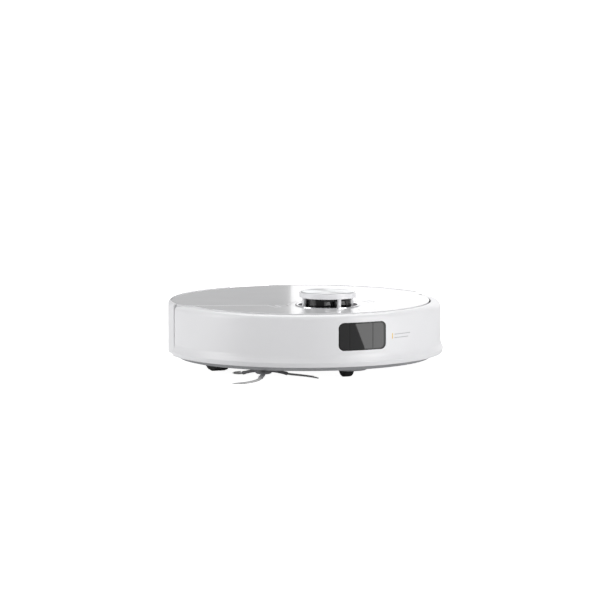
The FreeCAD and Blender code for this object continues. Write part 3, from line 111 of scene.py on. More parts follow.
def new_piece(name: str, points: np.ndarray, faces: Sequence[Sequence[int]], angle: float = 35.0
              ) -> bpy.types.Object:
    """Makes a piece from vertices in millimetres and faces.

    Args:
        name: Name of the piece.
        points: Vertices as rows of x, y, z in millimetres.
        faces: Vertex numbers of each face.
        angle: Edges that turn more than this many degrees stay sharp.

    Returns:
        The new object, at the origin.
    """
    mesh = bpy.data.meshes.new(name)
    sizes = np.array([len(f) for f in faces], np.int32)
    loops = np.concatenate([np.asarray(f, np.int32) for f in faces]) if not isinstance(faces, np.ndarray) \
        else faces.astype(np.int32).ravel()
    mesh.vertices.add(len(points))
    mesh.vertices.foreach_set("co", (np.asarray(points, float) * MM).astype(np.float32).ravel())
    mesh.loops.add(len(loops))
    mesh.loops.foreach_set("vertex_index", loops)
    mesh.polygons.add(len(sizes))
    mesh.polygons.foreach_set("loop_start", np.concatenate([[0], np.cumsum(sizes)[:-1]]).astype(np.int32))
    mesh.polygons.foreach_set("loop_total", sizes)
    mesh.update(calc_edges=True)
    mesh.validate()
    smooth(mesh, angle)
    piece = bpy.data.objects.new(name, mesh)
    bpy.context.scene.collection.objects.link(piece)
    return piece


def grid_faces(rows: int, cols: int, close_rows: bool, close_cols: bool, start: int = 0) -> np.ndarray:
    """Quads of a grid of vertices numbered row by row.

    Args:
        rows: Number of rows.
        cols: Number of vertices in a row.
        close_rows: Joins the last row to the first.
        close_cols: Joins the last column to the first.
        start: Number of the first vertex.

    Returns:
        Array of four vertex numbers for each quad.
    """
    r = np.arange(rows if close_rows else rows - 1)[:, None]
    c = np.arange(cols if close_cols else cols - 1)[None, :]
    r1, c1 = (r + 1) % rows, (c + 1) % cols
    quads = np.stack([r * cols + c, r * cols + c1, r1 * cols + c1, r1 * cols + c], -1)
    return quads.reshape(-1, 4) + start


def spun(name: str, profile: np.ndarray, axis: Tuple[float, float], steps: int = 160,
         angle: float = 35.0) -> bpy.types.Object:
    """Turned piece: a closed profile of (radius, height) carried round an upright axis.

    Point (a, s) is axis + r(s)·(cos a, sin a) at height h(s).

    Args:
        name: Name of the piece.
        profile: Closed outline, rows of radius and height, anticlockwise with radius to the right.
        axis: The axis's x and y.
        steps: Steps round the circle.
        angle: Sharp edge limit in degrees.

    Returns:
        The new piece.
    """
    a = np.linspace(0.0, 2 * np.pi, steps, endpoint=False)[:, None]
    r, z = profile[:, 0][None], profile[:, 1][None]
    points = np.stack([axis[0] + r * np.cos(a), axis[1] + r * np.sin(a), z + 0 * a], -1)
    faces = grid_faces(steps, len(profile), True, True)[:, ::-1]
    piece = new_piece(name, points.reshape(-1, 3), faces, angle)
    return clean(piece, angle)


def clean(piece: bpy.types.Object, angle: float = 35.0, dist: float = 0.002) -> bpy.types.Object:
    """Merges doubled vertices, drops empty faces and turns the normals outward.

    Args:
        piece: Piece to clean.
        angle: Sharp edge limit in degrees.
        dist: Distance in millimetres below which two vertices become one.

    Returns:
        The same piece.
    """
    bm = bmesh.new()
    bm.from_mesh(piece.data)
    bmesh.ops.remove_doubles(bm, verts=bm.verts, dist=dist * MM)
    bmesh.ops.dissolve_degenerate(bm, edges=bm.edges, dist=dist * MM * 0.5)
    bmesh.ops.recalc_face_normals(bm, faces=bm.faces)
    bm.to_mesh(piece.data)
    bm.free()
    smooth(piece.data, angle)
    return piece


def rounded(corners: np.ndarray, radii: Sequence[float], steps: int = 6) -> np.ndarray:
    """Rounds each corner of a closed outline with an arc tangent to its two sides.

    The arc's centre lies on the bisector at radius / sin(half angle), and the arc runs between the two
    tangent points by turning one spoke into the other.

    Args:
        corners: Array (..., corners, 2).
        radii: Radius at each corner.
        steps: Points on each arc.

    Returns:
        Array (..., corners * steps, 2).
    """
    before, after = np.roll(corners, 1, -2) - corners, np.roll(corners, -1, -2) - corners
    la, lb = np.linalg.norm(before, axis=-1), np.linalg.norm(after, axis=-1)
    u, w = before / la[..., None], after / lb[..., None]
    half = np.arccos(np.clip((u * w).sum(-1), -0.99999, 0.99999)) / 2
    reach = np.minimum(np.asarray(radii, float) / np.tan(half), 0.48 * np.minimum(la, lb))
    radius = reach * np.tan(half)
    bisector = (u + w) / np.linalg.norm(u + w, axis=-1)[..., None]
    centre = corners + bisector * (radius / np.sin(half))[..., None]
    first, last = corners + u * reach[..., None] - centre, corners + w * reach[..., None] - centre
    turn = (np.pi - 2 * half)[..., None]
    s = np.linspace(0.0, 1.0, steps)
    k0, k1 = np.sin((1 - s) * turn) / np.sin(turn), np.sin(s * turn) / np.sin(turn)
    arcs = centre[..., None, :] + k0[..., None] * first[..., None, :] + k1[..., None] * last[..., None, :]
    return arcs.reshape(*corners.shape[:-2], -1, 2)


def loft(name: str, points: np.ndarray, angle: float = 35.0) -> bpy.types.Object:
    """Solid through a row of closed sections, with a face on the first and the last.

    Args:
        name: Name of the piece.
        points: Array (sections, section points, 3) in millimetres.
        angle: Sharp edge limit in degrees.

    Returns:
        The new piece.
    """
    rows, cols = points.shape[:2]
    faces = grid_faces(rows, cols, False, True).tolist()
    faces += [list(range(cols)), list(range((rows - 1) * cols, rows * cols))[::-1]]
    return clean(new_piece(name, points.reshape(-1, 3), faces, angle), angle)


def tube(name: str, path: np.ndarray, sections: np.ndarray, side: np.ndarray, up: np.ndarray,
         angle: float = 40.0) -> bpy.types.Object:
    """Solid swept along a path: section point (u, v) lies at path + u·side + v·up.

    Args:
        name: Name of the piece.
        path: Rows of x, y, z.
        sections: Array (rows, section points, 2) of u and v.
        side: Unit vectors to the side, one for each row.
        up: Unit vectors upward, one for each row.
        angle: Sharp edge limit in degrees.

    Returns:
        The new piece with both ends closed.
    """
    points = path[:, None] + sections[..., :1] * side[:, None] + sections[..., 1:] * up[:, None]
    return loft(name, points, angle)


def prism(name: str, outline: np.ndarray, low: float, high: float, across: str = "z") -> bpy.types.Object:
    """Straight prism on a closed outline.

    Args:
        name: Name of the piece.
        outline: Rows of two coordinates.
        low: Where it starts along its axis.
        high: Where it ends.
        across: Axis that it runs along.

    Returns:
        The new piece.
    """
    n = len(outline)
    both = np.concatenate([np.column_stack([outline, np.full(n, h)]) for h in (low, high)])
    order = {"z": (0, 1, 2), "y": (0, 2, 1), "x": (2, 0, 1)}[across]
    return loft(name, both[:, order].reshape(2, n, 3))


def carve(piece: bpy.types.Object, cutters: Sequence[bpy.types.Object],
          angle: float = 35.0) -> bpy.types.Object:
    """Cuts other solids out of a piece and removes them.

    Args:
        piece: Piece to cut.
        cutters: Solids that are taken out of it.
        angle: Sharp edge limit in degrees.

    Returns:
        The same piece.
    """
    for cutter in cutters:
        cut = piece.modifiers.new("cut", "BOOLEAN")
        cut.operation, cut.solver, cut.object = "DIFFERENCE", "EXACT", cutter
    shape = bpy.data.meshes.new_from_object(piece.evaluated_get(bpy.context.evaluated_depsgraph_get()))
    piece.modifiers.clear()
    piece.data = shape
    for cutter in cutters:
        bpy.data.objects.remove(cutter)
    smooth(shape, angle)
    return piece


def merged_copy(node: str, name: str) -> bpy.types.Object:
    """Copy of a CAD node's mesh with its loose triangles joined and its flat faces made whole.

    Args:
        node: Name of the CAD node.
        name: Name of the new piece.

    Returns:
        The new piece.
    """
    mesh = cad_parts[node].data.copy()
    bm = bmesh.new()
    bm.from_mesh(mesh)
    bmesh.ops.remove_doubles(bm, verts=bm.verts, dist=0.01 * MM)
    bmesh.ops.dissolve_limit(bm, angle_limit=math.radians(0.3), verts=bm.verts, edges=bm.edges)
    bm.to_mesh(mesh)
    bm.free()
    if mesh.has_custom_normals:
        mesh.attributes.remove(mesh.attributes["custom_normal"])
    mesh.name = name
    piece = bpy.data.objects.new(name, mesh)
    bpy.context.scene.collection.objects.link(piece)
    return piece


def round_edges(piece: bpy.types.Object, size: float, wanted: Callable[[np.ndarray, np.ndarray], bool],
                steps: int = 3, sharp: float = 40.0) -> bpy.types.Object:
    """Rounds those sharp edges of a piece whose two ends, in millimetres, the test accepts.

    Args:
        piece: Piece to change.
        size: Reach of the rounding in millimetres.
        wanted: Test on an edge's two end points.
        steps: Faces across the rounding.
        sharp: Least turn in degrees of an edge that is rounded.

    Returns:
        The same piece.
    """
    bm = bmesh.new()
    bm.from_mesh(piece.data)
    edges = [e for e in bm.edges if len(e.link_faces) == 2 and e.calc_face_angle(0.0) > math.radians(sharp)
             and wanted(np.array(e.verts[0].co) / MM, np.array(e.verts[1].co) / MM)]
    bmesh.ops.bevel(bm, geom=edges, offset=size * MM, offset_type="OFFSET", segments=steps, profile=0.5,
                    affect="EDGES", clamp_overlap=False)
    bm.to_mesh(piece.data)
    bm.free()
    smooth(piece.data, 30.0)
    return piece


def weigh_normals(piece: bpy.types.Object, angle: float = 40.0) -> bpy.types.Object:
    """Gives each corner the area-weighted mean normal of the faces that meet there below an angle.

    The wide flat faces then stay evenly lit right up to their rounded edges.

    Args:
        piece: Piece to change.
        angle: Faces that turn more than this many degrees away are left out of the mean.

    Returns:
        The same piece.
    """
    mesh = piece.data
    count = len(mesh.polygons)
    normals, areas, sizes = np.empty(count * 3), np.empty(count), np.empty(count, np.int32)
    mesh.polygons.foreach_get("normal", normals)
    mesh.polygons.foreach_get("area", areas)
    mesh.polygons.foreach_get("loop_total", sizes)
    normals = normals.reshape(-1, 3)
    corners = np.empty(len(mesh.loops), np.int32)
    mesh.loops.foreach_get("vertex_index", corners)
    faces = np.repeat(np.arange(count), sizes)
    order = np.argsort(corners, kind="stable")
    groups = np.split(order, np.cumsum(np.bincount(corners, minlength=len(mesh.vertices)))[:-1])
    out = np.empty((len(corners), 3))
    limit = math.cos(math.radians(angle))
    for group in groups:
        around = normals[faces[group]]
        weight = (around @ around.T > limit) * areas[faces[group]][None]
        out[group] = weight @ around
    out /= np.maximum(np.linalg.norm(out, axis=1), 1e-12)[:, None]
    mesh.normals_split_custom_set(out.tolist())
    return piece


def at_height(z: float) -> Callable[[np.ndarray, np.ndarray], bool]:
    """Test for edges whose two ends lie at one height."""
    return lambda a, b: abs(a[2] - z) < 0.05 and abs(b[2] - z) < 0.05


# ------------------------------------------------------------------ finishes
class Texture(Enum):
    """How a mould or a tool left the surface."""

    POLISHED = "polished"
    SPARKED = "spark eroded"
    BRUSHED = "brushed"
    SPUN = "spun"
    WOVEN = "woven"


@dataclass(frozen=True)
class Finish:
    """One real material with the marks of how it was made.

    Attributes:
        name: Common name of the material.
        colour: Its colour as an sRGB code.
        roughness: Mean roughness.
        grain_mm: Size of the surface grain.
        depth_mm: Height of the grain.
        mottle: Share by which the colour drifts over the surface.
        metallic: One for a bare metal.
        ior: Index of refraction of a non-metal.
        edge_mm: Radius by which the mould rounds the edges; zero leaves them as built.
        coat: Weight of a clear gloss layer.
        transmission: Share of light let through.
        texture: How the surface was made.
        sheen: Weight of a soft sheen, for rubber and fibre.
    """

    name: str
    colour: str
    roughness: float
    grain_mm: float = 0.6
    depth_mm: float = 0.004
    mottle: float = 0.02
    metallic: float = 0.0
    ior: float = 1.5
    edge_mm: float = 0.25
    coat: float = 0.0
    transmission: float = 0.0
    texture: Texture = Texture.SPARKED
    sheen: float = 0.0

    def material(self) -> bpy.types.Material:
        """Builds the node material once and gives it back on every later call."""
        made = bpy.data.materials.get(self.name)
        if made is not None:
            return made
        made = bpy.data.materials.new(self.name)
        made.use_nodes = True
        tree = made.node_tree
        tree.nodes.clear()
        base = linear(self.colour)
        place = add(tree, "TexCoord").outputs["Object"]
        drift = add(tree, "TexNoise", {"Scale": 1.0 / (DRIFT_MM * MM), "Detail": 3.0}, {"Vector": place})
        shade = add(tree, "ValToRGB", {}, {"Fac": drift.outputs["Fac"]})
        low, high = (tuple(c * (1 + s * self.mottle) for c in base[:3]) + (1.0,) for s in (-1, 1))
        shade.color_ramp.elements[0].position, shade.color_ramp.elements[1].position = 0.3, 0.7
        shade.color_ramp.elements[0].color, shade.color_ramp.elements[1].color = low, high
        grain = self.grain(tree, place)
        low_rough, high_rough = (min(1.0, self.roughness * (1 + s * ROUGHNESS_DRIFT)) for s in (-1, 1))
        rough = add(tree, "MapRange", {"To Min": low_rough, "To Max": high_rough},
                    {"Value": drift.outputs["Fac"]})
        surface = {"Metallic": self.metallic, "Coat Weight": self.coat, "Coat Roughness": COAT_ROUGHNESS,
                   "Transmission Weight": self.transmission, "Sheen Weight": self.sheen,
                   "Sheen Roughness": SHEEN_ROUGHNESS}
        if not self.metallic:
            surface["IOR"] = self.ior
        links = {"Base Color": self.tint(tree, place, shade.outputs["Color"]),
                 "Roughness": rough.outputs["Result"]}
        bump_links = {"Height": grain}
        if self.edge_mm > 0:
            soft = add(tree, "Bevel", {"samples": 4, "Radius": self.edge_mm * MM})
            bump_links["Normal"] = soft.outputs["Normal"]
        bump = add(tree, "Bump", {"Strength": 1.0, "Distance": self.depth_mm * MM}, bump_links)
        links["Normal"] = bump.outputs["Normal"]
        if self.texture is Texture.SPUN:
            surface["Anisotropic"] = 0.85
            links["Tangent"] = self.around(tree, place)
        shader = add(tree, "BsdfPrincipled", surface, links)
        add(tree, "OutputMaterial", {}, {"Surface": shader.outputs["BSDF"]})
        return made

    def from_axis(self, tree: bpy.types.NodeTree, place: bpy.types.NodeSocket) -> bpy.types.Node:
        """Node that gives each point's place as seen from the turret's axis."""
        foot = (TURRET_AXIS[0] * MM, TURRET_AXIS[1] * MM, 0.0)
        return add(tree, "VectorMath", {"operation": "SUBTRACT", 1: foot}, {0: place})

    def around(self, tree: bpy.types.NodeTree, place: bpy.types.NodeSocket) -> bpy.types.NodeSocket:
        """Direction round the turret's axis at each point, for light that streaks across spun metal.

        Args:
            tree: Node tree of the material.
            place: Object coordinates.

        Returns:
            Socket with the direction.
        """
        off = self.from_axis(tree, place)
        turned = add(tree, "VectorMath", {"operation": "CROSS_PRODUCT", 0: (0.0, 0.0, 1.0)},
                     {1: off.outputs[0]})
        return add(tree, "VectorMath", {"operation": "NORMALIZE"}, {0: turned.outputs[0]}).outputs[0]

    def grain(self, tree: bpy.types.NodeTree, place: bpy.types.NodeSocket) -> bpy.types.NodeSocket:
        """Height of the surface grain, from 0 to 1.

        Args:
            tree: Node tree of the material.
            place: Object coordinates.

        Returns:
            Socket with the height.
        """
        scale = 1.0 / (self.grain_mm * MM)
        if self.texture is Texture.SPUN:
            off = self.from_axis(tree, place)
            flat = add(tree, "VectorMath", {"operation": "MULTIPLY", 1: (1.0, 1.0, 0.0)}, {0: off.outputs[0]})
            radius = add(tree, "VectorMath", {"operation": "LENGTH"}, {0: flat.outputs[0]}).outputs["Value"]
            return add(tree, "TexNoise", {"noise_dimensions": "1D", "Scale": scale, "Detail": 2.0},
                       {"W": radius}).outputs["Fac"]
        if self.texture is Texture.BRUSHED:
            pulled = add(tree, "Mapping", {"Scale": (BRUSH_STRETCH, 1.0, 1.0)}, {"Vector": place})
            return add(tree, "TexNoise", {"Scale": scale, "Detail": 2.0},
                       {"Vector": pulled.outputs[0]}).outputs["Fac"]
        if self.texture is Texture.WOVEN:
            return add(tree, "TexVoronoi", {"Scale": scale}, {"Vector": place}).outputs["Distance"]
        return add(tree, "TexNoise", {"Scale": scale, "Detail": 3.0, "Roughness": 0.6},
                   {"Vector": place}).outputs["Fac"]

    def tint(self, tree: bpy.types.NodeTree, place: bpy.types.NodeSocket,
             colour: bpy.types.NodeSocket) -> bpy.types.NodeSocket:
        """Colour over the surface; a plain finish passes the drifting colour on.

        Args:
            tree: Node tree of the material.
            place: Object coordinates.
            colour: Drifting colour.

        Returns:
            Socket with the colour.
        """
        return colour


@dataclass(frozen=True)
class PrintedInk(Finish):
    """Pad-printed ink: a warm mark first, then grey lines, split by where they lie."""

    warm: str = "#f0c850"
    split_mm: float = 43.0

    def tint(self, tree: bpy.types.NodeTree, place: bpy.types.NodeSocket,
             colour: bpy.types.NodeSocket) -> bpy.types.NodeSocket:
        """Warm colour where x lies below the split, the drifting grey elsewhere.

        Args:
            tree: Node tree of the material.
            place: Object coordinates.
            colour: Drifting grey.

        Returns:
            Socket with the colour.
        """
        x = add(tree, "SeparateXYZ", {}, {"Vector": place}).outputs["X"]
        warm = add(tree, "Math", {"operation": "LESS_THAN", 1: self.split_mm * MM}, {0: x}).outputs[0]
        mix = add(tree, "Mix", {"data_type": "RGBA"}, {0: warm})
        tree.links.new(colour, mix.inputs[6])
        mix.inputs[7].default_value = linear(self.warm)
        return mix.outputs[2]


@dataclass(frozen=True)
class SolderMask(Finish):
    """Fibreglass board under lacquer, with copper runs that show as paler lines."""

    copper: str = "#2f7a4c"
    run_mm: float = 14.0

    def tint(self, tree: bpy.types.NodeTree, place: bpy.types.NodeSocket,
             colour: bpy.types.NodeSocket) -> bpy.types.NodeSocket:
        """Green board crossed by brick-like copper runs.

        Args:
            tree: Node tree of the material.
            place: Object coordinates.
            colour: Drifting green.

        Returns:
            Socket with the colour.
        """
        black = (0, 0, 0, 1)
        runs = add(tree, "TexBrick", {"Scale": 1.0 / (self.run_mm * MM), "Color1": black, "Color2": black,
                                      "Mortar": (1, 1, 1, 1), "Mortar Size": 0.03, "offset": 0.37},
                   {"Vector": place})
        mix = add(tree, "Mix", {"data_type": "RGBA"}, {0: runs.outputs["Color"]})
        tree.links.new(colour, mix.inputs[6])
        mix.inputs[7].default_value = linear(self.copper)
        return mix.outputs[2]


# Glossy ABS: clear sharp reflections of whatever stands behind the robot, over clean white.
WHITE_GLOSS = Finish("abs_white_high_gloss", "#efeff1", 0.16, 4.0, 0.0002, 0.006, edge_mm=0.0, coat=0.3)
# Satin ABS: broad soft highlights and hardly any mirror image.
WHITE_SATIN = Finish("abs_white_satin", "#ececee", 0.34, 0.35, 0.0025, 0.008, edge_mm=0.2)
# Black polycarbonate: deep black frame that shows only a dim sheen.
BLACK_GLOSS = Finish("pc_black_gloss", "#0a0a0b", 0.22, 1.2, 0.001, 0.02, ior=1.4)
# Spark-eroded black ABS: dull, with a fine leathery grain.
BLACK_ABS = Finish("abs_black_textured", "#17171a", 0.5, 0.45, 0.012, 0.05, edge_mm=0.3)
# Mid grey ABS: the working parts under the robot, matt and even.
GREY_ABS = Finish("abs_mid_grey", "#a4a5a8", 0.45, 0.45, 0.010, 0.03)
# Light grey ABS: the floor of the chassis, which looks mid grey in its own shadow.
PALE_ABS = Finish("abs_light_grey", "#b4b5b8", 0.42, 0.45, 0.010, 0.03)
# Dark grey ABS: gear cases and ducts, matt.
DARK_ABS = Finish("abs_dark_grey", "#3c3d40", 0.48, 0.45, 0.012, 0.04)
# Chrome plate: a bright thin ring with dark streaks where it mirrors the gap.
CHROME = Finish("chrome_plate", "#e9eaec", 0.07, 3.0, 0.0006, 0.01, metallic=1.0, edge_mm=0.0,
                texture=Texture.POLISHED)
# Spun anodised aluminium: fans of light that turn as the eye moves.
SPUN_DISC = Finish("aluminium_spun_anodised", "#dcdddf", 0.3, 0.12, 0.0016, 0.01, metallic=1.0, edge_mm=0.0,
                   texture=Texture.SPUN)
# Infrared acrylic: almost black, polished, with crisp reflections.
TINTED = Finish("pmma_tinted_infrared", "#0f0f11", 0.03, 4.0, 0.0005, 0.02, ior=1.49, edge_mm=0.0,
                texture=Texture.POLISHED)
# Tyre rubber: black, dry, with a faint bloom on the tread.
TYRE = Finish("rubber_tyre_black", "#1d1d1e", 0.72, 0.5, 0.03, 0.08, ior=1.52, sheen=0.06)
# Thermoplastic rubber: soft grey with dull highlights along the fins.
BRUSH_RUBBER = Finish("tpu_brush_grey", "#848487", 0.5, 0.6, 0.015, 0.05, ior=1.5, sheen=0.05)
# Nylon: thin pale fibres with small glints.
NYLON = Finish("nylon_bristle", "#c8c8c8", 0.35, 0.4, 0.004, 0.12, ior=1.53, edge_mm=0.0)
# Nickel contacts: warm, brushed along their length.
CONTACT = Finish("nickel_contact", "#b9b4a6", 0.22, 0.5, 0.002, 0.03, metallic=1.0, texture=Texture.BRUSHED)
# Zinc-plated steel: cool grey screw heads.
SCREW_STEEL = Finish("steel_zinc_screw", "#8d8f93", 0.3, 0.4, 0.004, 0.05, metallic=1.0,
                     texture=Texture.BRUSHED)
# Fibreglass board: green lacquer with paler copper runs.
BOARD = SolderMask("fr4_green_board", "#14502e", 0.35, 0.6, 0.006, 0.06, coat=0.3)
# Shrink wrap: smooth blue film with a light ripple.
WRAP = Finish("pvc_battery_wrap", "#1f4f8f", 0.28, 1.8, 0.02, 0.03, coat=0.2)
# Drawn steel can: brushed, medium gloss.
MOTOR_CAN = Finish("steel_motor_can", "#9a9ca0", 0.33, 0.5, 0.003, 0.03, metallic=1.0,
                   texture=Texture.BRUSHED)
# Smoked polycarbonate: the dust inside can just be made out.
SMOKED = Finish("pc_smoked_clear", "#6a6c70", 0.12, 1.5, 0.002, 0.02, ior=1.585, transmission=0.85,
                edge_mm=0.0, texture=Texture.POLISHED)
# Glass-fibre paper: warm white and quite matt.
PAPER = Finish("glass_fibre_filter_paper", "#e6e2d6", 0.9, 0.5, 0.05, 0.05, texture=Texture.WOVEN,
               edge_mm=0.0)
# Pad-printed ink: thin, matt, slightly raised.
INK = PrintedInk("pad_print_ink", "#bcbdbf", 0.5, 0.6, 0.002, 0.02, edge_mm=0.0)
# Switch plastic: plain off-white.
SWITCH = Finish("pbt_white_switch", "#dcdcd8", 0.5, 0.5, 0.008, 0.03)

SLOT_FINISH: Dict[str, Finish] = {
    "white_gloss": WHITE_GLOSS, "white_satin": WHITE_SATIN, "black_gloss": BLACK_GLOSS,
    "black_plastic": BLACK_ABS, "grey_plastic": GREY_ABS, "light_grey_plastic": PALE_ABS,
    "dark_grey_plastic": DARK_ABS,
    "chrome_trim": CHROME, "brushed_disc": SPUN_DISC, "tinted_window": TINTED, "tyre_rubber": TYRE,
    "brush_rubber": BRUSH_RUBBER, "bristle_nylon": NYLON, "contact_metal": CONTACT,
    "steel_screw": SCREW_STEEL, "circuit_board": BOARD, "battery_wrap": WRAP, "motor_case": MOTOR_CAN,
    "smoked_clear": SMOKED, "filter_paper": PAPER, "print_ink": INK, "white_switch": SWITCH,
}


def dress(piece: bpy.types.Object, slot: str, body: str, *nodes: str) -> bpy.types.Object:
    """Gives a new piece its finish, its body and the CAD nodes that it stands for.

    Args:
        piece: The new piece.
        slot: Material slot of the record.
        body: Body that the piece rides on.
        nodes: CAD nodes that it replaces.

    Returns:
        The same piece.
    """
    piece.data.materials.clear()
    piece.data.materials.append(SLOT_FINISH[slot].material())
    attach(piece, body)
    if nodes:
        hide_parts(*nodes)
    return piece


# ------------------------------------------------------------------ shells
@dataclass
class TopPlates:
    """Glossy front plate and lid with softly rounded edges."""

    top: float = 83.5
    edge: float = 0.55

    def build(self) -> List[bpy.types.Object]:
        """Copies both plates and rounds the edges of their upper faces."""
        made = []
        for node, body in (("top_deck", "chassis"), ("lid_panel", "lid")):
            piece = merged_copy(node, node + "_skin")
            weigh_normals(round_edges(piece, self.edge, at_height(self.top)))
            made.append(dress(piece, "white_gloss", body, node))
        return made


@dataclass
class Bumper:
    """Bumper skin: lip, crease, wall, rounded top edge and rim, carried round the front."""

    wall_r: float = 171.5
    skin: float = 2.2
    lip_r: float = 175.0
    lip: Tuple[float, float, float, float, float] = (18.5, 24.5, 25.6, 29.9, 33.5)
    top: float = 82.7
    fillet: float = 7.0
    end: float = 96.0
    rim_r: float = 157.6
    rim_shift: float = 3.2
    rim_max: float = 168.8
    flare: Tuple[Tuple[float, float], Tuple[float, float]] = ((157.6, 84.0), (169.0, 93.0))
    window_x: Tuple[float, float] = (-33.0, 31.5)
    window_z: Tuple[float, float] = (38.5, 73.1)
    window_corner: float = 7.0
    cutter_y: Tuple[float, float] = (-190.0, -150.0)
    steps: int = 289
    arc_steps: int = 9
    outer_corners: int = 8
    backing_r: Tuple[float, float] = (166.4, 168.7)
    backing_z: Tuple[float, float] = (21.0, 78.5)
    backing_turn: Tuple[float, float] = (94.2, 98.2)

    def rim_inner(self, turn: np.ndarray) -> np.ndarray:
        """Inner radius of the rim at each angle from the front.

        A circle of radius rim_r whose centre is moved forward by rim_shift, then a straight flare out to
        rim_max at the ends.

        Args:
            turn: Angles from the front in radians.

        Returns:
            Radii in millimetres.
        """
        ahead = self.rim_shift * np.cos(turn)
        circle = ahead + np.sqrt(self.rim_r ** 2 - self.rim_shift ** 2 + ahead ** 2)
        (r0, a0), (r1, a1) = self.flare
        p, q = (np.array([r * math.sin(math.radians(a)), -r * math.cos(math.radians(a))]) for r, a in
                ((r0, a0), (r1, a1)))
        d = np.stack([np.sin(np.abs(turn)), -np.cos(turn)], -1)
        run = q - p
        line = (p[0] * run[1] - p[1] * run[0]) / (d[:, 0] * run[1] - d[:, 1] * run[0])
        radius = np.where(np.abs(turn) > math.radians(a0), np.maximum(line, circle), circle)
        radius = np.where(np.abs(turn) > math.radians(a1), self.rim_max, radius)
        return np.minimum(radius, self.rim_max)

    def outline(self) -> np.ndarray:
        """Closed half section before the rim is trimmed, rows of radius and height."""
        z0, z1, z2, z3, z4 = self.lip
        inner, under = self.wall_r - self.skin, self.top - self.skin
        corners = np.array([(inner, z0), (self.lip_r - 1.6, z0), (self.lip_r, z1), (self.lip_r - 0.8, z2),
                            (self.wall_r + 0.8, z3), (self.wall_r, z4), (self.wall_r, self.top),
                            (self.rim_r - 3.0, self.top), (self.rim_r - 3.0, under), (inner, under)])
        radii = [0.3, 0.9, 1.4, 0.5, 1.0, 5.0, self.fillet, 0.05, 0.05, self.fillet - self.skin]
        return rounded(corners, radii, self.arc_steps)

    def shell(self) -> bpy.types.Object:
        """Carries the section round the front, trims the rim and cuts the window."""
        turn = np.radians(np.linspace(-self.end, self.end, self.steps))
        section = self.outline()
        r = np.repeat(section[None, :, 0], self.steps, 0)
        z = np.repeat(section[None, :, 1], self.steps, 0)
        limit = self.rim_inner(turn)[:, None]
        centre_r, centre_z = self.wall_r - self.fillet, self.top - self.fillet
        small = self.fillet - self.skin
        outer = np.arange(len(section)) < self.outer_corners * self.arc_steps
        drop = np.clip(limit - centre_r, 0.0, None)
        over = centre_z + np.sqrt(self.fillet ** 2 - drop ** 2)
        under = centre_z + np.sqrt(np.clip(small ** 2 - drop ** 2, 0.0, None))
        near = (r < limit) & (z > centre_z)
        z = np.where(near, np.where(outer[None], np.minimum(z, over), np.minimum(z, under)), z)
        r = np.where(near, limit, r)
        points = np.stack([r * np.sin(turn)[:, None], -r * np.cos(turn)[:, None], z], -1)
        piece = loft("bumper_skin", points, 30.0)
        x0, x1 = self.window_x
        low, high = self.window_z
        box = np.array([(x0, low), (x1, low), (x1, high), (x0, high)])
        cutter = prism("window_cutter", rounded(box, [self.window_corner] * 4, 12),
                       *self.cutter_y, "y")
        return carve(piece, [cutter], 30.0)

    def backing(self, side: int) -> bpy.types.Object:
        """Curved strip of the rear shell that stands behind the gap at one end of the bumper.

        Args:
            side: One for the robot's +X side, minus one for the other.

        Returns:
            The strip.
        """
        (r0, r1), (z0, z1), (a0, a1) = self.backing_r, self.backing_z, self.backing_turn
        section = rounded(np.array([(r0, z0), (r1, z0), (r1, z1), (r0, z1)]), [0.4, 0.4, 3.0, 0.4], 5)
        turn = side * np.radians(np.linspace(a0, a1, 12))[:, None]
        r, z = section[:, 0][None], section[:, 1][None]
        points = np.stack([r * np.sin(turn), -r * np.cos(turn), z + 0 * turn], -1)
        return loft("seam_backing_left" if side > 0 else "seam_backing_right", points)

    def build(self) -> List[bpy.types.Object]:
        """Makes the bumper's skin and the strips behind its two end gaps."""
        strips = [dress(self.backing(side), "white_satin", "chassis") for side in (1, -1)]
        return [dress(self.shell(), "white_satin", "bumper", "bumper_shell"), *strips]


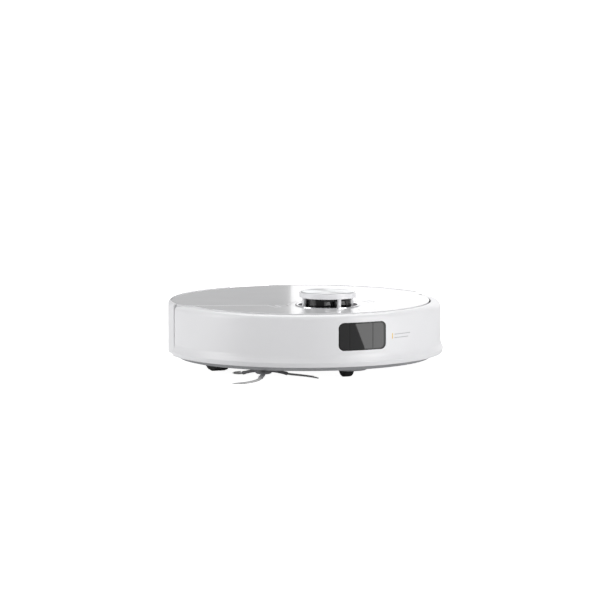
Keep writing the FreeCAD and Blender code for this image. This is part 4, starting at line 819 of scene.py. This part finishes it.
# ------------------------------------------------------------------ turret
@dataclass
class Turret:
    """Laser turret: chrome foot ring, cap band with a spun disc, posts and the dark turning head."""

    hole_r: float = 37.2
    ring_r: float = 40.5
    ring_lap: float = 0.4
    ring_t: float = 0.9
    deck: float = 83.5
    cap_r: float = 35.3
    cap_low: float = 94.0
    cap_high: float = 100.4
    disc_r: float = 33.0
    disc_low: float = 99.0
    disc_high: float = 101.0
    post_w: float = 4.5
    foot_z: float = 76.4
    foot_r: float = 31.0
    foot_t: float = 3.4
    post_set_in: float = 0.2

    def ring(self) -> bpy.types.Object:
        """Chrome ring with a rounded crown, raised a little above the deck."""
        low, high = self.deck, self.deck + self.ring_t
        inner = self.hole_r - self.ring_lap
        corners = np.array([(inner, low), (self.ring_r, low), (self.ring_r, high), (inner, high)])
        return spun("turret_ring_trim", rounded(corners, [0.05, 0.1, 0.42, 0.42], 6), TURRET_AXIS, 192)

    def cap(self) -> bpy.types.Object:
        """Cap band with a rounded upper edge and the seat of the disc."""
        corners = np.array([(20.0, self.cap_low), (self.cap_r, self.cap_low), (self.cap_r, self.cap_high),
                            (self.disc_r + 0.12, self.cap_high), (self.disc_r + 0.12, self.disc_low - 0.05),
                            (20.0, self.disc_low - 0.05)])
        profile = rounded(corners, [0.05, 0.5, 1.1, 0.15, 0.05, 0.05], 7)
        profile[:, 0] = np.where(profile[:, 0] < 20.5, 0.0, profile[:, 0])
        return spun("turret_cap", profile, TURRET_AXIS, 192)

    def disc(self) -> bpy.types.Object:
        """Thin metal disc with a polished bevel at its edge."""
        r = self.disc_r
        edge = np.array([(r, self.disc_low), (r, self.disc_high - 0.55), (r - 0.55, self.disc_high - 0.06),
                         (r - 0.8, self.disc_high)])
        inside = np.linspace(r - 0.8, 0.0, 24)[1:]
        top = np.column_stack([inside, np.full(23, self.disc_high)])
        under = np.column_stack([np.linspace(0.0, r, 8)[:-1], np.full(7, self.disc_low)])
        return spun("turret_disc_spun", np.concatenate([edge, top, under]), TURRET_AXIS, 192, 20.0)

    def posts(self) -> bpy.types.Object:
        """Foot ring and four rounded posts as one moulding."""
        top = self.foot_z + self.foot_t
        foot = np.array([(self.foot_r, self.foot_z), (self.cap_r, self.foot_z), (self.cap_r, top),
                         (self.foot_r, top)])
        piece = spun("turret_posts", rounded(foot, [0.3] * 4, 4), TURRET_AXIS, 160)
        half = self.post_w / 2
        inner, outer = self.foot_r + self.post_set_in, self.cap_r - 0.6
        corners = np.array([(inner, -half), (outer, -half), (outer, half), (inner, half)])
        box = rounded(corners, [0.6, 1.0, 1.0, 0.6], 5)
        bm = bmesh.new()
        bm.from_mesh(piece.data)
        for i in range(4):
            c, s = math.cos(i * math.pi / 2), math.sin(i * math.pi / 2)
            turned = np.column_stack([box[:, 0] * c - box[:, 1] * s + TURRET_AXIS[0],
                                      box[:, 0] * s + box[:, 1] * c + TURRET_AXIS[1]])
            post = prism("post", turned, self.foot_z + 1.0, self.cap_low + 0.1)
            bm.from_mesh(post.data)
            bpy.data.objects.remove(post)
        bm.to_mesh(piece.data)
        bm.free()
        smooth(piece.data, 35.0)
        return piece

    def build(self) -> List[bpy.types.Object]:
        """Makes the turret's pieces and sets each on its body."""
        return [
            dress(self.ring(), "chrome_trim", "chassis", "turret_ring"),
            dress(self.cap(), "white_gloss", "turret", "turret_cage"),
            dress(self.posts(), "white_gloss", "turret"),
            dress(self.disc(), "brushed_disc", "turret", "turret_disc"),
        ]


# ------------------------------------------------------------------ side brush
@dataclass
class SideBrush:
    """Three-armed side brush: curved rubber roots and fanned bundles of bristles."""

    centre: Tuple[float, float] = (-102.0, -98.0)
    hub_r: float = 11.0
    hub_z: Tuple[float, float] = (6.5, 12.2)
    shaft_r: float = 3.0
    shaft_top: float = 26.0
    reach: float = 68.0
    arm_angle: float = 244.0
    root_r: float = 31.0
    root_z: float = 5.2
    arm_z: float = 9.6
    root_swing: float = 6.0
    tip_swing: float = 31.0
    tip_z: float = 1.3
    root_rows: int = 60
    root_wide: Tuple[float, float] = (3.5, 1.3)
    root_thick: Tuple[float, float] = (2.0, 0.15)
    grooves: Tuple[float, float] = (0.34, 0.46)
    groove_depth: float = 0.12
    groove_share: float = 0.03
    collar_at: float = 0.86
    collar_rise: float = 0.16
    fan: Tuple[float, float] = (1.5, 3.0)
    slant: float = 3.5
    bristle_rows: int = 14
    lowest: float = 0.45
    bristle_r: float = 0.16
    bristles: int = 90

    def along(self, radius: np.ndarray, arm: int) -> np.ndarray:
        """Points of an arm's centre line.

        The direction swings back from the arm's own angle with the square of the radius beyond the hub,
        and the height falls from the hub to the root's end and then to the tip.

        Args:
            radius: Distances from the hub's axis.
            arm: Which of the three arms.

        Returns:
            Rows of x, y, z.
        """
        share = np.clip((radius - self.root_r) / (self.reach - self.root_r), 0.0, None)
        first = np.clip((radius - self.hub_r) / (self.root_r - self.hub_r), 0.0, 1.0)
        swing = self.root_swing * first ** 2 + (self.tip_swing - self.root_swing) * share ** 1.5
        a = np.radians(self.arm_angle + 120.0 * arm - swing)
        fall = (self.root_z - self.tip_z) * np.clip(share, 0, 1) ** 0.6
        height = self.arm_z - (self.arm_z - self.root_z) * first ** 1.2 - fall
        x, y = self.centre
        return np.column_stack([x + radius * np.cos(a), y + radius * np.sin(a), height])

    def axes(self, path: np.ndarray) -> Tuple[np.ndarray, np.ndarray]:
        """Unit vectors to the side of a path and above it.

        Args:
            path: Rows of x, y, z.

        Returns:
            Side vectors and up vectors, one row each.
        """
        run = np.gradient(path, axis=0)
        run /= np.linalg.norm(run, axis=1)[:, None]
        side = np.cross(np.array([0.0, 0.0, 1.0]), run)
        side /= np.linalg.norm(side, axis=1)[:, None]
        return side, np.cross(run, side)

    def root(self, arm: int) -> bpy.types.Object:
        """Rubber root: a squared section that narrows, with two flex grooves, ending in a clamp collar.

        Half width and half thickness fall evenly along the root; each groove is a bell-shaped dip, and the
        collar is a smooth step up near the end.

        Args:
            arm: Which of the three arms.

        Returns:
            The root.
        """
        rows = self.root_rows
        path = self.along(np.linspace(self.hub_r - 3.0, self.root_r + 1.0, rows), arm)
        side, up = self.axes(path)
        t = np.linspace(0.0, 1.0, rows)[:, None]
        first, second = (self.groove_depth * np.exp(-((t - at) / self.groove_share) ** 2)
                         for at in self.grooves)
        groove = 1.0 - first - second
        collar = 1.0 + self.collar_rise * (1 / (1 + np.exp(-(t - self.collar_at) * 60.0)))
        wide = (self.root_wide[0] - self.root_wide[1] * t) * groove * collar
        thick = (self.root_thick[0] - self.root_thick[1] * t) * groove * collar
        end = np.sqrt(np.clip(1.0 - np.clip((t - 0.97) / 0.03, 0, 1) ** 2, 0.1, 1.0))
        a = np.linspace(0, 2 * np.pi, 20, endpoint=False)[None]
        squared = (np.abs(np.cos(a)) ** 4 + np.abs(np.sin(a)) ** 4) ** -0.25
        sections = np.stack([wide * end * squared * np.cos(a), thick * end * squared * np.sin(a)], -1)
        return tube(f"side_brush_root_{arm + 1}", path, sections, side, up, 50.0)

    def bundle(self, arm: int) -> bpy.types.Object:
        """Bundle of tapering three-sided bristles that fan out towards a slanted tip.

        Bristle k has a fixed place (p, q) in a disc; its offset from the centre line grows from the clamp's
        size to the fan's, and its length follows the slant across the fan.

        Args:
            arm: Which of the three arms.

        Returns:
            The bundle as one piece.
        """
        rng = np.random.default_rng(7 + arm)
        n, rows = self.bristles, self.bristle_rows
        p, q = rng.uniform(-1, 1, n), rng.uniform(-1, 1, n)
        end = self.reach - self.slant - self.slant * p + rng.uniform(-1.2, 1.2, n)
        share = np.linspace(0.0, 1.0, rows)
        radius = self.root_r - 1.5 + share[None] * (end[:, None] - self.root_r + 1.5)
        flat = self.along(radius.ravel(), arm).reshape(n, rows, 3)
        spread = self.fan[0] + self.fan[1] * share[None] ** 1.1
        a = np.radians(self.arm_angle + 120.0 * arm + 90.0 - self.root_swing - 18.0 * share)[None]
        wander = rng.uniform(-0.35, 0.35, (n, 1)) * share[None] ** 2
        across = (p[:, None] + wander) * spread
        lift = q[:, None] * (1.2 - 0.35 * share[None])
        centre = np.stack([flat[..., 0] + across * np.cos(a), flat[..., 1] + across * np.sin(a),
                           np.maximum(flat[..., 2] + lift, self.lowest)], -1)
        thin = self.bristle_r * (1.0 - 0.45 * share ** 2)[None, :, None]
        corner = np.radians([90.0, 210.0, 330.0])[None, None]
        ox = np.cos(corner) * thin
        points = np.stack([centre[..., None, 0] + ox * np.cos(a)[..., None],
                           centre[..., None, 1] + ox * np.sin(a)[..., None],
                           centre[..., None, 2] + np.sin(corner) * thin], -1)
        per = rows * 3
        quads = grid_faces(rows, 3, False, True)[:, ::-1]
        faces = (np.arange(n)[:, None, None] * per + quads[None]).reshape(-1, 4).tolist()
        starts = np.arange(n)[:, None] * per
        faces += (starts + np.array([0, 1, 2])).tolist() + (starts + per - 1 - np.array([0, 1, 2])).tolist()
        piece = new_piece(f"side_brush_bristles_{arm + 1}", points.reshape(-1, 3), faces, 60.0)
        bm = bmesh.new()
        bm.from_mesh(piece.data)
        bmesh.ops.recalc_face_normals(bm, faces=bm.faces)
        bm.to_mesh(piece.data)
        bm.free()
        return piece

    def hub(self) -> bpy.types.Object:
        """Hub with a domed underside, a screw recess and the shaft."""
        low, high = self.hub_z
        corners = np.array([(2.4, low + 1.4), (2.6, low), (self.hub_r - 2.5, low), (self.hub_r, low + 2.2),
                            (self.hub_r, high), (self.shaft_r, high), (self.shaft_r, self.shaft_top),
                            (1.0, self.shaft_top)])
        profile = rounded(corners, [0.2, 0.4, 1.2, 1.4, 0.8, 0.3, 0.4, 0.05], 5)
        profile[:, 0] = np.where((profile[:, 0] < 1.5) & (profile[:, 1] > high), 0.0, profile[:, 0])
        profile = np.concatenate([[(0.0, low + 1.4)], profile])
        return spun("side_brush_hub_cap", profile, self.centre, 72)

    def build(self) -> List[bpy.types.Object]:
        """Makes the hub, the roots and the bundles."""
        made = [dress(self.hub(), "brush_rubber", "side_brush", "side_brush_hub")]
        for arm in range(3):
            made.append(dress(self.root(arm), "brush_rubber", "side_brush"))
            nodes = ("side_brush_bristles",) if arm == 0 else ()
            made.append(dress(self.bundle(arm), "bristle_nylon", "side_brush", *nodes))
        return made


# ------------------------------------------------------------------ rollers and wheels
@dataclass
class BrushRoller:
    """Rubber roller with chevron fins between end caps."""

    centre_y: float
    centre_z: float = 26.0
    start: float = -73.0
    end: float = 85.0
    tip_r: float = 18.5
    core_r: float = 12.0
    fins: int = 8
    fin_width: float = 2.6
    twist: float = 70.0
    fade_from: float = 5.0
    fade_over: float = 4.0
    rows: int = 100
    cols: int = 384
    stub: Tuple[float, float] = (-86.0, 92.0)
    stub_r: float = 3.0

    def radii(self, x: np.ndarray, a: np.ndarray, sense: float) -> np.ndarray:
        """Radius of the rubber at each place along and round the roller.

        Each fin is a smooth bump across the angle, core + height / (1 + (distance / half width)^6), and its
        angle grows with the distance from the middle; it sinks into the core near the ends.

        Args:
            x: Places along the axis, as a column.
            a: Angles round the axis, as a row.
            sense: One or minus one, for which way the chevrons point.

        Returns:
            Array of radii.
        """
        middle, half = (self.start + self.end) / 2, (self.end - self.start) / 2
        pitch = 2 * np.pi / self.fins
        phase = sense * math.radians(self.twist) * np.abs(x - middle) / half
        gap = (a + phase + pitch / 2) % pitch - pitch / 2
        fin = 1.0 / (1.0 + (np.abs(gap) / (self.fin_width / 2 / self.core_r * 1.15)) ** 6)
        sunk = np.clip((np.abs(x - middle) - (half - self.fade_from)) / self.fade_over, 0.0, 1.0)
        ends = np.sqrt(1.0 - sunk ** 2)
        return self.core_r + (self.tip_r - self.core_r) * fin * ends

    def build(self, name: str, body: str, node: str, sense: float) -> List[bpy.types.Object]:
        """Makes the finned surface with its flat ends and stubs as one piece.

        Args:
            name: Name of the piece.
            body: Body that it rides on.
            node: CAD node that it replaces.
            sense: Which way the chevrons point.

        Returns:
            The new piece in a list.
        """
        inner = np.linspace(self.start + 1.0, self.end - 1.0, self.rows)
        first, last = [self.stub[0], self.start, self.start], [self.end, self.end, self.stub[1]]
        x = np.concatenate([first, inner, last])
        a = np.linspace(0, 2 * np.pi, self.cols, endpoint=False)[None]
        r = self.radii(x[:, None], a, sense)
        r[[0, 1, -2, -1]] = self.stub_r
        r[[2, -3]] = self.core_r
        points = np.stack([x[:, None] + 0 * a, self.centre_y + r * np.cos(a),
                           self.centre_z + r * np.sin(a)], -1)
        return [dress(loft(name, points, 50.0), "brush_rubber", body, node)]


@dataclass
class Tyre:
    """Rubber tyre with rounded shoulders, a middle groove and two offset rows of cross grooves."""

    side: int
    centre_x: float = 120.5
    width: float = 18.0
    radius: float = 36.0
    inner: float = 28.0
    treads: int = 24
    depth: float = 2.2
    groove: float = 3.0
    middle: float = 1.6
    shoulder: float = 2.2

    def build(self) -> List[bpy.types.Object]:
        """Carries the rounded section round the axle and presses the grooves into the crown.

        The groove's depth is depth / (1 + (distance / half width)^8) of the arc length from the nearest
        groove, and fades to nothing down the side walls.

        Returns:
            The tyre in a list.
        """
        w, r0, r1 = self.width / 2, self.inner, self.radius
        lip, floor, low = 0.9 * self.middle, 0.45 * self.middle, r1 - self.depth
        box = np.array([(-w, r0), (w, r0), (w, r1), (lip, r1), (floor, low), (-floor, low), (-lip, r1),
                        (-w, r1)])
        section = rounded(box, [0.4, 0.4, self.shoulder, 0.4, 0.3, 0.3, 0.4, self.shoulder], 6)
        a = np.linspace(0.0, 2 * np.pi, self.treads * 24, endpoint=False)[:, None]
        u, r = section[:, 0][None], section[:, 1][None]
        pitch = 2 * np.pi / self.treads
        gap = (a - np.where(u > 0, 0.5, 0.0) * pitch + pitch / 2) % pitch - pitch / 2
        cut = 1.0 / (1.0 + (np.abs(gap) * self.radius / (self.groove / 2)) ** 8)
        fade = np.clip((r - (r1 - self.depth)) / self.depth, 0.0, 1.0)
        r = r - self.depth * cut * fade
        x = self.side * (self.centre_x + u + 0 * a)
        points = np.stack([x, r * np.sin(a), self.radius - r * np.cos(a)], -1)
        faces = grid_faces(len(a), section.shape[0], True, True)
        name = "tyre_left" if self.side > 0 else "tyre_right"
        body = "wheel_left" if self.side > 0 else "wheel_right"
        piece = clean(new_piece(name + "_tread", points.reshape(-1, 3), faces, 40.0), 40.0)
        return [dress(piece, "tyre_rubber", body, name)]


# ------------------------------------------------------------------ studio
@dataclass
class Studio:
    """White floor, soft lights, a light card and the camera."""

    aim: Tuple[float, float, float] = (0.0, 0.0, 49.5)
    distance: float = 6510.0
    azimuth: float = -25.25
    rise: float = 0.1179
    look_down: float = 0.1128
    look_left: float = 0.000864
    lens: float = 310.3
    window_r: float = 171.35
    glint_top: Tuple[float, float] = (-12.9, 75.7)
    glint_foot: Tuple[float, float] = (3.6, 35.2)
    card_height: float = 1.5
    card_far: Tuple[float, float] = (640.0, -775.0)
    card_near: Tuple[float, float] = (600.0, -330.0)
    card_foot: Tuple[float, float] = (104.0, -330.0)
    front_glow: float = 4.0
    floor_size: float = 40.0
    floor_white: float = 0.62
    floor_glow: float = 0.85
    floor_fill: float = 0.1
    sky_light: float = 0.22
    sky_seen: float = 1.05
    back_reach: float = 1100.0
    back_left: float = -20.0
    back_right: float = 900.0
    back_top: float = 700.0
    back_glow: float = 1.2

    def eye(self) -> np.ndarray:
        """Place of the camera in millimetres: the aim point plus its distance along the arm."""
        a = math.radians(self.azimuth)
        level = math.cos(self.rise)
        arm = np.array([math.sin(a) * level, -math.cos(a) * level, math.sin(self.rise)])
        return np.array(self.aim) + self.distance * arm

    def front_card(self) -> List[Tuple[float, float, float]]:
        """Outline of the front card, whose left edge looks straight in the curved window.

        The glint's edge runs straight down the window from glint_top to glint_foot, each an x and a height.
        The line from the eye to each of its points p is turned by the window's normal n into
        q = d - 2 (d . n) n, and meets the card's height at p + q (height - z) / q_z.

        Returns:
            The card's corners, anticlockwise from the edge's near end.
        """
        x, z = np.linspace(self.glint_top, self.glint_foot, 9).T
        p = np.stack([x, -np.sqrt(self.window_r ** 2 - x ** 2), z], -1)
        n = p * (1.0, 1.0, 0.0) / self.window_r
        d = p - self.eye()
        q = d - 2.0 * (d * n).sum(-1, keepdims=True) * n
        edge = p + q * ((self.card_height - z) / q[:, 2])[:, None]
        plain = [(*corner, self.card_height) for corner in (self.card_far, self.card_near, self.card_foot)]
        return [*plain, *map(tuple, edge[::-1])]

    def back_card(self) -> List[Tuple[float, float, float]]:
        """Outline of the upright card behind the robot, from its middle to far right, mirrored by the deck."""
        a = math.radians(self.azimuth)
        right, away = np.array([math.cos(a), math.sin(a)]), np.array([-math.sin(a), math.cos(a)])
        near, far = (away * self.back_reach + right * u for u in (self.back_left, self.back_right))
        return [(*near, 2.0), (*far, 2.0), (*far, self.back_top), (*near, self.back_top)]

    def camera(self) -> None:
        """Puts the camera on its arm round the aim point and makes it the scene's."""
        data = bpy.data.cameras.new("camera")
        data.lens, data.sensor_width = self.lens, 36.0
        data.clip_start, data.clip_end = 0.1, 60.0
        camera = bpy.data.objects.new("camera", data)
        camera.location = self.eye() * MM
        turn = math.radians(self.azimuth) + self.look_left
        camera.rotation_euler = (math.pi / 2 - self.look_down, 0.0, turn)
        bpy.context.scene.collection.objects.link(camera)
        bpy.context.scene.camera = camera

    def light(self, name: str, place: Tuple[float, float, float], size: Tuple[float, float], power: float,
              target: Tuple[float, float, float] = (0.0, 0.0, 0.04)) -> bpy.types.Object:
        """Rectangular soft light aimed at a point.

        Args:
            name: Name of the light.
            place: Its centre in metres.
            size: Width and height in metres.
            power: Power in watts.
            target: Point that it faces.

        Returns:
            The light's object.
        """
        data = bpy.data.lights.new(name, "AREA")
        data.shape, data.size, data.size_y, data.energy = "RECTANGLE", *size, power
        lamp = bpy.data.objects.new(name, data)
        lamp.location = place
        lamp.rotation_euler = (Vector(target) - Vector(place)).to_track_quat("-Z", "Y").to_euler()
        lamp.visible_camera = False
        bpy.context.scene.collection.objects.link(lamp)
        return lamp

    def floor(self) -> None:
        """Large white floor that also glows a little to the eye, as a lit sweep does."""
        size = self.floor_size
        corners = np.array([(-size, -size, 0), (size, -size, 0), (size, size, 0), (-size, size, 0)])
        floor = new_piece("floor", corners / MM, [[0, 1, 2, 3]])
        material = bpy.data.materials.new("paper_sweep_white")
        material.use_nodes = True
        tree = material.node_tree
        tree.nodes.clear()
        place = add(tree, "TexCoord").outputs["Object"]
        fibre = add(tree, "TexNoise", {"Scale": 900.0, "Detail": 2.0}, {"Vector": place})
        bump = add(tree, "Bump", {"Strength": 0.15, "Distance": 0.0001}, {"Height": fibre.outputs["Fac"]})
        paper = add(tree, "BsdfPrincipled", {"Base Color": (*[self.floor_white] * 3, 1.0), "Roughness": 0.9},
                    {"Normal": bump.outputs["Normal"]})
        seen = add(tree, "LightPath").outputs["Is Camera Ray"]
        power = add(tree, "Math", {"operation": "MULTIPLY_ADD", 1: self.floor_glow, 2: self.floor_fill},
                    {0: seen})
        glow = add(tree, "Emission", {"Color": (1, 1, 1, 1)}, {"Strength": power.outputs[0]})
        both = add(tree, "AddShader", {}, {0: paper.outputs[0], 1: glow.outputs[0]})
        add(tree, "OutputMaterial", {}, {"Surface": both.outputs[0]})
        floor.data.materials.append(material)

    def card(self, name: str, outline: Sequence[Tuple[float, float, float]], strength: float) -> None:
        """Glowing card that only glossy surfaces mirror.

        Args:
            name: Name of the card.
            outline: Its corners in millimetres.
            strength: How brightly it glows.
        """
        corners = np.array(outline)
        card = new_piece(name, corners, [list(range(len(corners)))])
        material = bpy.data.materials.new(name + "_glow")
        material.use_nodes = True
        tree = material.node_tree
        tree.nodes.clear()
        glow = add(tree, "Emission", {"Color": (1, 1, 1, 1), "Strength": strength})
        add(tree, "OutputMaterial", {}, {"Surface": glow.outputs[0]})
        card.data.materials.append(material)
        card.visible_camera = False
        card.visible_diffuse = False
        card.visible_transmission = False
        card.visible_shadow = False
        card.visible_volume_scatter = False

    def build(self) -> None:
        """Sets the floor, the lights, the sky and the camera."""
        scene = bpy.context.scene
        scene.view_settings.view_transform = "Standard"
        world = bpy.data.worlds.new("studio")
        scene.world = world
        world.use_nodes = True
        tree = world.node_tree
        tree.nodes.clear()
        seen = add(tree, "LightPath").outputs["Is Camera Ray"]
        strength = add(tree, "MapRange", {"To Min": self.sky_light, "To Max": self.sky_seen}, {"Value": seen})
        sky = add(tree, "Background", {"Color": (1, 1, 1, 1)}, {"Strength": strength.outputs["Result"]})
        add(tree, "OutputWorld", {}, {"Surface": sky.outputs[0]})
        self.floor()
        self.card("card_front", self.front_card(), self.front_glow)
        self.card("card_back", self.back_card(), self.back_glow)
        self.light("key_left", (-2.0, 0.45, 0.8), (1.2, 1.6), 23.5)
        self.light("key_right", (1.15, -2.0, 0.9), (1.2, 1.4), 32.0)
        self.light("top_back", (0.5, 0.9, 2.2), (2.0, 1.6), 35.0)
        self.camera()


# ------------------------------------------------------------------ assembly
class Assembly:
    """Every sub-assembly in build order, and the CAD nodes that stay as they are."""

    def parts(self) -> List[Tuple[str, Callable[[], List[bpy.types.Object]]]]:
        """Names and builders of the sub-assemblies."""
        front, rear = BrushRoller(FRONT_ROLLER_Y), BrushRoller(REAR_ROLLER_Y)
        return [("top plates", TopPlates().build), ("bumper", Bumper().build), ("turret", Turret().build),
                ("side brush", SideBrush().build),
                ("front roller",
                 lambda: front.build("roller_front_fins", "front_roller", "roller_front", 1.0)),
                ("rear roller", lambda: rear.build("roller_rear_fins", "rear_roller", "roller_rear", -1.0)),
                ("left tyre", Tyre(1).build), ("right tyre", Tyre(-1).build)]

    def dress_nodes(self) -> None:
        """Gives each CAD node the finish of its own material slot."""
        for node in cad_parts.values():
            for slot in node.material_slots:
                key = slot.material.name.split(".")[0] if slot.material else ""
                slot.material = SLOT_FINISH[key].material()

    def build(self) -> None:
        """Builds all of it and reports each piece."""
        self.dress_nodes()
        for label, make in self.parts():
            for piece in make():
                LOG.info("%s: %s, %d faces", label, piece.name, len(piece.data.polygons))


def main() -> None:
    """Builds the robot and the studio."""
    logging.basicConfig(level=logging.INFO, format="%(message)s")
    Assembly().build()
    Studio().build()


if __name__ == "__main__":
    main()
